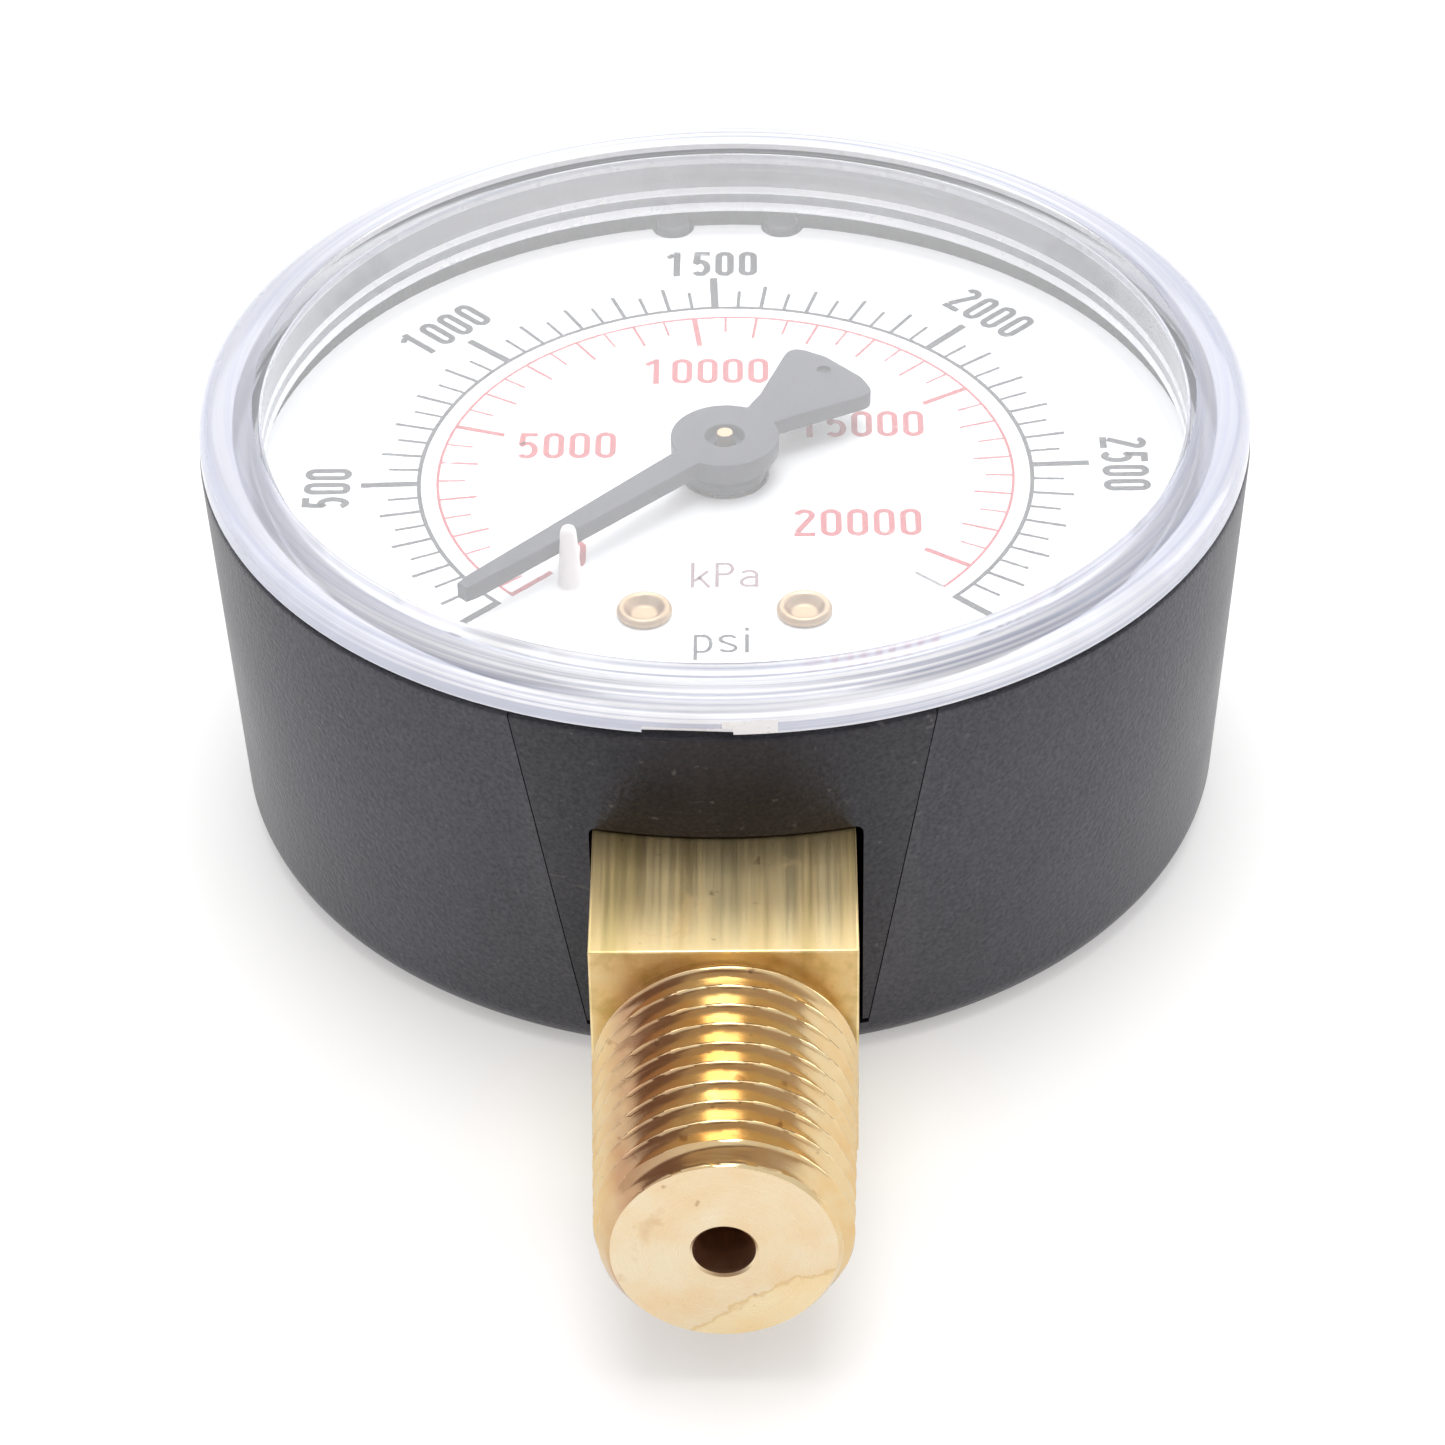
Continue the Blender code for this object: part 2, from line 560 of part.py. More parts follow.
def make_link(parts, look, pin_look):
    start = polar(TAIL_RADIUS, TAIL_REST_ANGLE, SECTOR_PIVOT)
    end = polar(LINK_LENGTH, LINK_REST_ANGLE, start)
    outline = arc(1.0, LINK_REST_ANGLE + 90, LINK_REST_ANGLE + 270, 8, start)
    outline += arc(1.0, LINK_REST_ANGLE - 90, LINK_REST_ANGLE + 90, 8, end)
    flat("link", [outline, circle(0.6, start, 12), circle(0.6, end, 12)], SECTOR_Z - 1.1, 0.6,
         parts, look, at=start)
    for name, at, top in (("link_pin_sector", start, SECTOR_Z + SECTOR_THICK + 0.2),
                          ("link_pin_tip", polar(TIP_PIN_RADIUS, TIP_PIN_ANGLE), SECTOR_Z + 1.0)):
        low = SECTOR_Z - 1.1
        turned(name, [(0.0, top), (0.28, top), (0.28, low - 0.2), (0.75, low - 0.2), (0.75, low - 0.7),
                      (0.0, low - 0.7)], parts, pin_look, at=at, steps=16)


def make_pointer(parts, look):
    """Pointer at its rest angle: a tapered blade, a round hub and a fan-shaped tail."""
    def rotated(along, across):
        a = math.radians(REST_ANGLE)
        return (along * math.cos(a) - across * math.sin(a), along * math.sin(a) + across * math.cos(a))

    tip, hub, tail = POINTER_LENGTH, HUB_RADIUS, -TAIL_LENGTH
    outline = [rotated(tip, -0.4), rotated(tip, 0.4), rotated(tip - 0.8, 0.52), rotated(hub, 0.85)]
    outline += [rotated(hub * math.cos(a), hub * math.sin(a))
                for a in (math.radians(d) for d in range(35, 146, 22))]
    outline += [rotated(-3.6, 1.5), rotated(tail, 3.7)]
    outline += [rotated(tail - 0.55, 2.0), rotated(tail - 0.75, 0.0), rotated(tail - 0.55, -2.0)]
    outline += [rotated(tail, -3.7), rotated(-3.6, -1.5)]
    outline += [rotated(hub * math.cos(a), hub * math.sin(a))
                for a in (math.radians(d) for d in range(-145, -34, 22))]
    outline += [rotated(hub, -0.85), rotated(tip - 0.8, -0.52)]
    flat("pointer", [outline, circle(HUB_HOLE, steps=20)], POINTER_Z, POINTER_THICK, parts, look)
    turned("pointer_bushing", [
        (BUSHING_BORE, BUSHING_TOP_Z), (HUB_HOLE - GAP, BUSHING_TOP_Z), (HUB_HOLE - GAP, POINTER_Z - 0.25),
        (2.2, POINTER_Z - 0.25), (2.2, DIAL_Z + 0.5), (BUSHING_BORE, DIAL_Z + 0.5)],
        parts, look, steps=24)


def main():
    clear_scene()
    parts = new_collection("pressure_gauge")
    cutters = new_collection("cutters")
    abs_black = material("black_abs", (0.035, 0.035, 0.037), 0.5)
    clear = material("clear_polycarbonate", (0.92, 0.94, 0.97), 0.05, transmission=0.9)
    white = material("white_dial", (0.85, 0.85, 0.83), 0.4)
    black = material("black_pointer", (0.03, 0.03, 0.035), 0.45)
    brass = material("brass", (0.72, 0.52, 0.24), 0.3, metallic=1.0)
    bronze = material("bronze_tube", (0.66, 0.42, 0.22), 0.35, metallic=1.0)
    steel = material("steel", (0.6, 0.6, 0.6), 0.3, metallic=1.0)

    make_case(parts, cutters, abs_black)
    make_wedge(parts, cutters, abs_black)
    make_lens(parts, cutters, clear)
    make_dial(parts, cutters, white)
    make_socket(parts, cutters, brass)
    make_tube(parts, bronze)
    make_tip(parts, cutters, brass)
    make_movement(parts, cutters, brass, steel, bronze)
    make_pinion(parts, cutters, brass)
    make_sector(parts, brass)
    make_link(parts, steel, brass)
    make_pointer(parts, black)


main()
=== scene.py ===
"""Looks of a small bottom-stem pressure gauge, lying on its back on a white studio floor.

Shapes are given in millimetres, and places inside the materials in metres, as Blender has them.
The gauge stands in the frame's own coordinates: origin in the middle of the case's back,
+Z out of the dial, the stem along -Y.
"""

import math

import bmesh
import bpy
from mathutils import Matrix, Vector


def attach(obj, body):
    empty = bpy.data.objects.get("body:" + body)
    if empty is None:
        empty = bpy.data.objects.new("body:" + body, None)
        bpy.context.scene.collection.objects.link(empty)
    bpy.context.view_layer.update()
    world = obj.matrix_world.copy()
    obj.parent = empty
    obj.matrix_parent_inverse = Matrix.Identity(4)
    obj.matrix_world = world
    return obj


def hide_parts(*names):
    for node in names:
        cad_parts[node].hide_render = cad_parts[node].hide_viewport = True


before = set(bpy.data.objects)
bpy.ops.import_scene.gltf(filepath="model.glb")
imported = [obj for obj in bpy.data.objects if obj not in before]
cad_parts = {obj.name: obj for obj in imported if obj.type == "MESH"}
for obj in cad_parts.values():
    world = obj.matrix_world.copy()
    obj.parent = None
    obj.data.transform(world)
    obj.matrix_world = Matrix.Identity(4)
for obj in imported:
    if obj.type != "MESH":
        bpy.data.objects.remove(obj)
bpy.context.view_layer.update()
MM = 0.001
SCENE = bpy.context.scene

# ---------------------------------------------------------------- sizes (mm, degrees)
AROUND = 192
RIM_RADIUS, RIM_Z = 29.8, 23.3
RIM_CORNER = [(RIM_RADIUS - 0.22, RIM_Z), (RIM_RADIUS - 0.06, RIM_Z - 0.06), (RIM_RADIUS, RIM_Z - 0.22)]
BACK_RADIUS, BACK_EDGE = 28.6, 1.9
INNER_RIM, INNER_BACK, FLOOR_Z = 27.9, 26.9, 2.0
SLOT_FOOT_Z, SLOT_FOOT_HALF, SLOT_FLARE, SLOT_INNER_Y, SEAM = 1.9, 7.75, 0.166, -24.5, 0.06
DIAL_RADIUS, DIAL_Z, DIAL_THICK = 27.0, 18.3, 1.0
POST_RADIUS, POST_ANGLES = 1.0, (82.8, 97.1)
STOP_PIN, STOP_PIN_TOP = (-8.6, -10.5), 22.2
EYELETS = {"left": (-4.42, -13.43), "right": (4.42, -13.43)}
SQUARE, STEM_Z, SHOULDER_Y, STEM_END_Y = 14.0, 9.4, -38.6, -53.5
PITCH, THREAD_DEPTH, TAPER = 25.4 / 18, 1.0, 1 / 32
THREAD_END_RADIUS, END_FACE_RADIUS, BORE_RADIUS = 6.54, 5.72, 1.6
REST_ANGLE, POINTER_Z, POINTER_TOP = 225.0, 20.0, 21.0


# ---------------------------------------------------------------- mesh helpers
def polar(radius, degrees, centre=(0.0, 0.0)):
    a = math.radians(degrees)
    return (centre[0] + radius * math.cos(a), centre[1] + radius * math.sin(a))


def arc(radius, start, end, steps, centre=(0.0, 0.0)):
    """Points along an arc, both ends included."""
    return [polar(radius, start + (end - start) * i / steps, centre) for i in range(steps + 1)]


def circle(radius, centre=(0.0, 0.0), steps=48):
    return arc(radius, 0, 360 - 360 / steps, steps - 1, centre)


LEVEL = 0.99996  # a face whose normal has a part this long along an axis is level


def finish_mesh(name, mesh, look, smooth=32):
    """Makes a cleaned mesh an object: sharp at edges over smooth degrees, flat on level faces."""
    shape = bmesh.new()
    shape.from_mesh(mesh)
    bmesh.ops.remove_doubles(shape, verts=shape.verts, dist=2e-7)
    bmesh.ops.dissolve_degenerate(shape, edges=shape.edges, dist=1e-7)
    bmesh.ops.recalc_face_normals(shape, faces=shape.faces)
    shape.to_mesh(mesh)
    shape.free()
    mesh.shade_smooth()
    mesh.set_sharp_from_angle(angle=math.radians(smooth))
    for face in mesh.polygons:
        if max(abs(c) for c in face.normal) > LEVEL:
            face.use_smooth = False
    mesh.materials.clear()
    mesh.materials.append(look)
    obj = bpy.data.objects.new(name, mesh)
    SCENE.collection.objects.link(obj)
    return obj


def from_points(name, points, faces, look, smooth=32):
    mesh = bpy.data.meshes.new(name)
    mesh.from_pydata([Vector(p) * MM for p in points], [], faces)
    return finish_mesh(name, mesh, look, smooth)


def rounded(points, steps=5):
    """A closed outline of (x, y, corner radius) with each corner turned into an arc."""
    out, n = [], len(points)
    for i, (x, y, r) in enumerate(points):
        here = Vector((x, y))
        if r <= 0:
            out.append((x, y))
            continue
        a = Vector(points[i - 1][:2]) - here
        b = Vector(points[(i + 1) % n][:2]) - here
        half = a.angle(b) / 2
        cut = min(r / math.tan(half), a.length * 0.49, b.length * 0.49)
        p, q = here + a.normalized() * cut, here + b.normalized() * cut
        for k in range(steps + 1):
            t = k / steps
            out.append(tuple((1 - t) ** 2 * p + 2 * t * (1 - t) * here + t * t * q))
    return out


def lathe(name, profile, look, steps=AROUND, centre=(0.0, 0.0), smooth=32):
    """A solid turned from a closed profile of (radius, height); radius 0 is on the axis."""
    points, faces, rows = [], [], []
    for r, h in profile:
        if r < 1e-6:
            rows.append([len(points)] * steps)
            points.append((0.0, 0.0, h))
        else:
            rows.append(list(range(len(points), len(points) + steps)))
            points += [(*polar(r, 360 * k / steps), h) for k in range(steps)]
    n = len(rows)
    for i in range(n):
        a, b = rows[i], rows[(i + 1) % n]
        if a[0] == a[1] and b[0] == b[1]:
            continue
        for k in range(steps):
            m = (k + 1) % steps
            face = []
            for v in (a[k], a[m], b[m], b[k]):
                if v not in face:
                    face.append(v)
            faces.append(face)
    points = [(x + centre[0], y + centre[1], z) for x, y, z in points]
    return from_points(name, points, faces, look, smooth)


def flat(name, loops, low, high, look, bevel=0.0, smooth=32):
    """A flat solid from closed outlines; an outline inside another is a hole."""
    curve = bpy.data.curves.new(name, "CURVE")
    curve.dimensions, curve.fill_mode = "2D", "BOTH"
    curve.extrude = (high - low) / 2 - bevel
    curve.bevel_depth, curve.bevel_resolution = bevel, 2
    curve.offset = -bevel
    for loop in loops:
        spline = curve.splines.new("POLY")
        spline.points.add(len(loop) - 1)
        for point, (x, y) in zip(spline.points, loop):
            point.co = (x, y, 0.0, 1.0)
        spline.use_cyclic_u = True
    temp = bpy.data.objects.new(name + "_curve", curve)
    SCENE.collection.objects.link(temp)
    bpy.context.view_layer.update()
    graph = bpy.context.evaluated_depsgraph_get()
    mesh = bpy.data.meshes.new_from_object(temp.evaluated_get(graph))
    mesh.transform(Matrix.Diagonal((MM, MM, MM, 1)) @ Matrix.Translation((0, 0, (low + high) / 2)))
    bpy.data.objects.remove(temp, do_unlink=True)
    return finish_mesh(name, mesh, look, smooth)


def box(name, low, high, look, bevel=0.0, turn=0.0):
    """A block between two corners, turned by so many degrees about the dial's axis."""
    shape = bmesh.new()
    bmesh.ops.create_cube(shape, size=1.0)
    size = [(b - a) * MM for a, b in zip(low, high)]
    bmesh.ops.scale(shape, vec=size, verts=shape.verts)
    bmesh.ops.translate(shape, vec=[(a + b) / 2 * MM for a, b in zip(low, high)], verts=shape.verts)
    if bevel:
        bmesh.ops.bevel(shape, geom=list(shape.edges), offset=bevel * MM, segments=2,
                        profile=0.5, affect="EDGES")
    bmesh.ops.rotate(shape, cent=(0, 0, 0), matrix=Matrix.Rotation(math.radians(turn), 3, "Z"),
                     verts=shape.verts)
    mesh = bpy.data.meshes.new(name)
    shape.to_mesh(mesh)
    shape.free()
    return finish_mesh(name, mesh, look)


def cut(obj, *cutters, operation="DIFFERENCE", smooth=32):
    """Applies Booleans to a piece and removes the cutters."""
    for other in cutters:
        mod = obj.modifiers.new("cut", "BOOLEAN")
        mod.operation, mod.object, mod.solver = operation, other, "EXACT"
    bpy.context.view_layer.update()
    graph = bpy.context.evaluated_depsgraph_get()
    mesh = bpy.data.meshes.new_from_object(obj.evaluated_get(graph))
    look, name = obj.data.materials[0], obj.name
    for o in (obj, *cutters):
        bpy.data.objects.remove(o, do_unlink=True)
    return finish_mesh(name, mesh, look, smooth)


def join(name, *objs):
    """One object from several, each keeping its own look."""
    shape = bmesh.new()
    looks = []
    for o in objs:
        index = len(looks)
        looks += list(o.data.materials)
        start = len(shape.faces)
        shape.from_mesh(o.data)
        shape.faces.ensure_lookup_table()
        for f in shape.faces[start:]:
            f.material_index += index
    mesh = bpy.data.meshes.new(name)
    shape.to_mesh(mesh)
    shape.free()
    for look in looks:
        mesh.materials.append(look)
    for o in objs:
        bpy.data.objects.remove(o, do_unlink=True)
    obj = bpy.data.objects.new(name, mesh)
    SCENE.collection.objects.link(obj)
    return obj


# ---------------------------------------------------------------- material helpers
class Look:
    """A small builder for one Principled material."""

    def __init__(self, name, colour, roughness=0.4, **sockets):
        self.made = bpy.data.materials.new(name)
        self.made.use_nodes = True
        self.nodes, self.links = self.made.node_tree.nodes, self.made.node_tree.links
        self.shader = self.nodes["Principled BSDF"]
        self.set(self.shader, "Base Color", (*colour, 1.0))
        self.set(self.shader, "Roughness", roughness)
        for key, value in sockets.items():
            self.set(self.shader, key.replace("_", " "), value)
        self.where = self.nodes.new("ShaderNodeTexCoord").outputs["Object"]

    def set(self, node, socket, value):
        if isinstance(value, bpy.types.NodeSocket):
            self.links.new(value, node.inputs[socket])
        else:
            node.inputs[socket].default_value = value

    def math(self, operation, a, b=0.5, c=0.5, clamp=False):
        node = self.nodes.new("ShaderNodeMath")
        node.operation, node.use_clamp = operation, clamp
        for i, v in enumerate((a, b, c)):
            self.set(node, i, v)
        return node.outputs[0]

    def length(self, a, b):
        squares = self.math("ADD", self.math("MULTIPLY", a, a), self.math("MULTIPLY", b, b))
        return self.math("SQRT", squares)

    def scaled(self, scale):
        node = self.nodes.new("ShaderNodeMapping")
        self.set(node, "Vector", self.where)
        self.set(node, "Scale", scale)
        return node.outputs[0]

    def noise(self, scale, detail=3.0, rough=0.55, where=None, distortion=0.0):
        node = self.nodes.new("ShaderNodeTexNoise")
        self.set(node, "Vector", where or self.where)
        self.set(node, "Scale", scale)
        self.set(node, "Detail", detail)
        self.set(node, "Roughness", rough)
        self.set(node, "Distortion", distortion)
        return node.outputs["Fac"]

    def ramp(self, value, low, high, to_low=0.0, to_high=1.0):
        """The value taken from the range low to high into another, and held at its ends."""
        node = self.nodes.new("ShaderNodeMapRange")
        for socket, v in (("Value", value), ("From Min", low), ("From Max", high),
                          ("To Min", to_low), ("To Max", to_high)):
            self.set(node, socket, v)
        return node.outputs["Result"]

    def mix(self, factor, a, b):
        node = self.nodes.new("ShaderNodeMix")
        node.data_type = "RGBA"
        self.set(node, "Factor", factor)
        for socket, v in ((6, a), (7, b)):
            self.set(node, socket, v if isinstance(v, bpy.types.NodeSocket) else (*v, 1.0))
        return node.outputs[2]

    def axes(self):
        node = self.nodes.new("ShaderNodeSeparateXYZ")
        self.set(node, 0, self.where)
        return node.outputs

    def vector(self, x, y, z):
        node = self.nodes.new("ShaderNodeCombineXYZ")
        for i, v in enumerate((x, y, z)):
            self.set(node, i, v)
        return node.outputs[0]

    def bump(self, height, distance_mm, strength=1.0):
        """The normal over a height whose full range is this many millimetres."""
        node = self.nodes.new("ShaderNodeBump")
        self.set(node, "Height", height)
        self.set(node, "Distance", distance_mm * MM)
        self.set(node, "Strength", strength)
        return node.outputs[0]

    def use(self, **sockets):
        for key, value in sockets.items():
            self.set(self.shader, key.replace("_", " "), value)
        return self.made


def moulded_black(name, colour, roughness, grain=0.050, dust=0.5, ior=1.5, dull_middle=False):
    """Matt black plastic: fine spark grain, faint cloudy sheen, dust and rubbed specks.

    dull_middle takes sheen away in the middle, over the stem.
    """
    k = Look(name, colour, roughness, IOR=ior, Specular_Tint=(0.93, 0.94, 1.0, 1.0))
    grain_height = k.noise(3200, 2.0, 0.6)
    cloud = k.noise(130, 4.0, 0.6)
    specks = k.ramp(k.noise(1500, 2.0, 0.5), 0.69, 0.76)
    hair = k.ramp(k.noise(700, 3.0, 0.6, k.scaled((0.25, 1.0, 2.6)), 1.2), 0.70, 0.78)
    dirt = k.math("MULTIPLY", k.math("MAXIMUM", specks, hair), dust, clamp=True)
    light = tuple(min(1.0, c * 1.7 + 0.006) for c in colour)
    base = k.mix(k.ramp(cloud, 0.3, 0.75), colour, light)
    base = k.mix(k.math("MULTIPLY", dirt, 0.45), base, (0.16, 0.155, 0.15))
    rough = k.math("ADD", k.ramp(cloud, 0.25, 0.8, roughness - 0.05, roughness + 0.07),
                   k.math("MULTIPLY", dirt, 0.2))
    speckle = k.ramp(k.noise(4200, 1.0, 0.5), 0.3, 0.7, 0.38, 0.62)
    if dull_middle:
        away = k.math("ABSOLUTE", k.axes()["X"])
        speckle = k.math("MULTIPLY", speckle, k.ramp(away, 0.003, 0.0095, 0.62, 1.0))
    return k.use(Base_Color=base, Roughness=rough, Specular_IOR_Level=speckle,
                 Normal=k.bump(grain_height, grain))


def brass(name, kind, colour=(0.84, 0.66, 0.37), roughness=0.2):
    """Machined brass. kind sets the tool marks: "flat" has them along the stem, "turned" about it,
    "face" in rings on its end, and "plain" in short strokes.
    """
    k = Look(name, colour, roughness, Metallic=1.0)
    x, y, z = k.axes()
    z_in = k.math("SUBTRACT", z, STEM_Z * MM)  # from the stem's axis
    if kind == "flat":
        lines = k.noise(1.0, 4.0, 0.6, k.scaled((2600, 60, 2600)))
        broad = k.noise(1.0, 3.0, 0.6, k.scaled((520, 25, 520)))
        height = k.bump(lines, 0.012)
    elif kind == "turned":
        lines = k.noise(1.0, 3.0, 0.6, k.scaled((60, 5200, 60)))
        broad = k.noise(420, 3.0, 0.6)
        height = k.bump(lines, 0.006)
    elif kind == "face":
        lines = k.noise(1.0, 3.0, 0.6, k.vector(k.math("MULTIPLY", k.length(x, z_in), 4200), y, 0.0))
        broad = k.noise(300, 3.0, 0.55)
        height = k.bump(lines, 0.006)
    else:
        lines = k.noise(900, 3.0, 0.6, k.scaled((1.0, 0.2, 1.0)))
        broad = k.noise(260, 3.0, 0.6)
        height = k.bump(lines, 0.008)
    stain = k.ramp(k.noise(240, 4.0, 0.65, distortion=0.6), 0.60, 0.74)
    spots = k.ramp(k.noise(900, 2.0, 0.5), 0.70, 0.76)
    warm = (colour[0] * 0.98, colour[1] * 0.86, colour[2] * 0.72)
    olive = (colour[0] * 0.66, colour[1] * 0.68, colour[2] * 0.52)
    base = k.mix(k.ramp(broad, 0.35, 0.7), colour, warm)
    if kind == "flat":
        base = k.mix(k.ramp(broad, 0.48, 0.62, 0.0, 0.55), base, olive)
    base = k.mix(k.math("MULTIPLY", stain, 0.35), base, (0.50, 0.28, 0.13))
    base = k.mix(k.math("MULTIPLY", spots, 0.55), base, (0.20, 0.09, 0.04))
    if kind == "turned":  # painted shade: a patchy dark band down the thread's left side, standing in for the dim room its flanks reflect
        side = k.math("MULTIPLY", k.ramp(x, -0.0008, -0.0040), k.ramp(x, -0.0064, -0.0052))
        painted_left_shade = k.math("MULTIPLY", side, k.ramp(k.noise(330, 3.0, 0.6), 0.3, 0.6, 0.35, 0.75))
        base = k.mix(painted_left_shade, base, (0.42, 0.22, 0.13))
    if kind == "face":  # a stain across the lower right, darker along its outline
        shape = k.math("ADD", k.math("ADD", k.math("MULTIPLY", x, 90), k.math("MULTIPLY", z_in, -150)),
                       k.math("MULTIPLY", k.noise(420, 4.0, 0.6), 0.5))
        inside = k.ramp(shape, 0.865, 0.885)
        outline = k.math("MULTIPLY", inside, k.ramp(shape, 0.93, 0.90))
        base = k.mix(k.math("MULTIPLY", outline, 0.5), base, (0.44, 0.26, 0.12))
        base = k.mix(k.math("MULTIPLY", inside, 0.3), base, (0.86, 0.66, 0.32))
    rough = k.math("ADD", k.ramp(lines, 0.3, 0.7, roughness - 0.04, roughness + 0.08),
                   k.math("MULTIPLY", stain, 0.12))
    return k.use(Base_Color=base, Roughness=rough, Normal=height)


def steel(name, colour=(0.62, 0.62, 0.63), roughness=0.28):
    """Plated steel with fine polishing lines."""
    k = Look(name, colour, roughness, Metallic=1.0)
    lines = k.noise(2200, 3.0, 0.6, k.scaled((1.0, 0.3, 1.0)))
    base = k.mix(k.ramp(k.noise(500, 3.0), 0.35, 0.7), colour, tuple(c * 0.78 for c in colour))
    return k.use(Base_Color=base, Roughness=k.ramp(lines, 0.3, 0.7, roughness - 0.06, roughness + 0.1),
                 Normal=k.bump(lines, 0.006))


def pass_lamps(k):
    """Lets lamps light what is behind a clear look straight through it, without caustics."""
    straight = k.nodes.new("ShaderNodeBsdfTransparent")
    k.set(straight, "Color", (0.96, 0.965, 0.975, 1.0))
    path = k.nodes.new("ShaderNodeLightPath")
    lamps = k.math("MAXIMUM", path.outputs["Is Shadow Ray"], path.outputs["Is Diffuse Ray"])
    mixed = k.nodes.new("ShaderNodeMixShader")
    k.set(mixed, "Fac", lamps)
    k.links.new(k.shader.outputs[0], mixed.inputs[1])
    k.links.new(straight.outputs[0], mixed.inputs[2])
    k.links.new(mixed.outputs[0], k.nodes["Material Output"].inputs["Surface"])
    return k.made


def clear_plastic(name):
    """Clear moulded polycarbonate with a few scuffs."""
    k = Look(name, (0.965, 0.972, 0.99), 0.015, IOR=1.585, Transmission_Weight=1.0)
    scuff = k.ramp(k.noise(900, 3.0, 0.6, k.scaled((0.3, 1.0, 1.0)), 1.0), 0.66, 0.78)
    k.use(Roughness=k.ramp(scuff, 0.0, 1.0, 0.015, 0.12), Normal=k.bump(k.noise(2600, 2.0, 0.5), 0.0006, 0.6))
    return pass_lamps(k)


def ringed_plastic(name):
    """The lens's rim: fine rings, painted shade greying it to the left and right, and milky at the near side
    and the top.
    """
    k = Look(name, (0.965, 0.972, 0.99), 0.015, IOR=1.50, Transmission_Weight=1.0)
    x, y, z = k.axes()
    across, up = k.math("MULTIPLY", k.length(x, y), 3200), k.math("MULTIPLY", z, 3200)
    rings = k.noise(1.0, 2.0, 0.5, k.vector(k.math("MULTIPLY", x, 14), across, up))
    # painted shade: the rim's colour greys towards its left and right sides
    painted_side_shade = k.ramp(k.math("ABSOLUTE", x), 0.012, 0.026)
    light = k.mix(painted_side_shade, (0.96, 0.962, 0.975), (0.46, 0.47, 0.53))
    tint = k.mix(k.ramp(rings, 0.38, 0.60), (0.40, 0.42, 0.52), light)
    clear_side = k.ramp(y, -0.006, 0.014, 0.60, 0.86)
    clear_below = k.ramp(z, 0.0256, 0.0252)
    clear = k.math("ADD", k.math("MULTIPLY", clear_side, clear_below),
                   k.math("MULTIPLY", k.math("SUBTRACT", 1.0, clear_below), 0.55))
    k.use(Base_Color=tint, Roughness=k.ramp(rings, 0.3, 0.7, 0.05, 0.16), Transmission_Weight=clear,
          Normal=k.bump(rings, 0.003))
    return pass_lamps(k)


def frosted_plastic(name):
    """The lens's moulded lip where it is ground and lets light through only as a glow."""
    k = Look(name, (0.90, 0.91, 0.94), 0.30, IOR=1.585, Transmission_Weight=0.25)
    cloud = k.noise(400, 3.0, 0.6)
    return k.use(Base_Color=k.mix(k.ramp(cloud, 0.3, 0.75), (0.92, 0.93, 0.95), (0.80, 0.82, 0.88)),
                 Roughness=k.ramp(cloud, 0.3, 0.7, 0.2, 0.4), Normal=k.bump(k.noise(1800, 2.0), 0.004))


def satin_white(name, colour, roughness):
    """White enamel or plastic, a little cloudy."""
    k = Look(name, colour, roughness, IOR=1.49)
    cloud = k.noise(90, 4.0, 0.6)
    base = k.mix(k.ramp(cloud, 0.3, 0.75), colour, tuple(c * 0.965 for c in colour))
    return k.use(Base_Color=base, Roughness=k.ramp(cloud, 0.3, 0.7, roughness - 0.05, roughness + 0.08),
                 Normal=k.bump(k.noise(2400, 2.0), 0.002))


def ink(name, colour, roughness=0.45):
    """Screen print: thin, a little uneven at the edges of the screen's mesh."""
    k = Look(name, colour, roughness)
    screen = k.noise(5200, 2.0, 0.6)
    light = tuple(min(1.0, c * 1.35 + 0.02) for c in colour)
    return k.use(Base_Color=k.mix(k.ramp(screen, 0.35, 0.75), colour, light),
                 Roughness=k.ramp(screen, 0.3, 0.7, roughness - 0.08, roughness + 0.1),
                 Normal=k.bump(screen, 0.003))


ABS = moulded_black("abs_black", (0.0165, 0.0160, 0.0220), 0.34, ior=1.60)
ABS_WEDGE = moulded_black("abs_black_wedge", (0.0120, 0.0115, 0.0150), 0.37, dust=0.9, ior=1.53,
                          dull_middle=True)
POINTER_BLACK = moulded_black("pointer_black", (0.0130, 0.0120, 0.0200), 0.40, grain=0.016, dust=1.0)
PC = clear_plastic("clear_polycarbonate")
PC_RIM = ringed_plastic("clear_polycarbonate_rim")
PC_FROSTED = frosted_plastic("frosted_polycarbonate")
WHITE = satin_white("dial_white", (0.86, 0.86, 0.855), 0.38)
PIN_WHITE = satin_white("dial_pin_white", (0.84, 0.80, 0.79), 0.42)
BLACK_INK = ink("black_print", (0.030, 0.030, 0.034))
RED_INK = ink("red_print", (0.38, 0.050, 0.060))
MAUVE_INK = ink("mauve_print", (0.22, 0.14, 0.15))
GREY_INK = ink("grey_print", (0.20, 0.19, 0.20))
BRASS = brass("brass", "plain", roughness=0.24)
BRASS_FLAT = brass("brass_milled", "flat", (0.84, 0.69, 0.39), 0.40)
BRASS_TURNED = brass("brass_turned", "turned", (0.67, 0.53, 0.31), 0.15)
BRASS_FACE = brass("brass_faced", "face", (0.75, 0.64, 0.455), 0.27)
BRASS_DARK = brass("brass_bore", "turned", (0.80, 0.56, 0.42), 0.38)
EYELET_BRASS = brass("brass_eyelet", "plain", (0.48, 0.36, 0.24), 0.40)
BRONZE = brass("bronze", "plain", (0.66, 0.42, 0.24), 0.3)
STEEL = steel("steel")

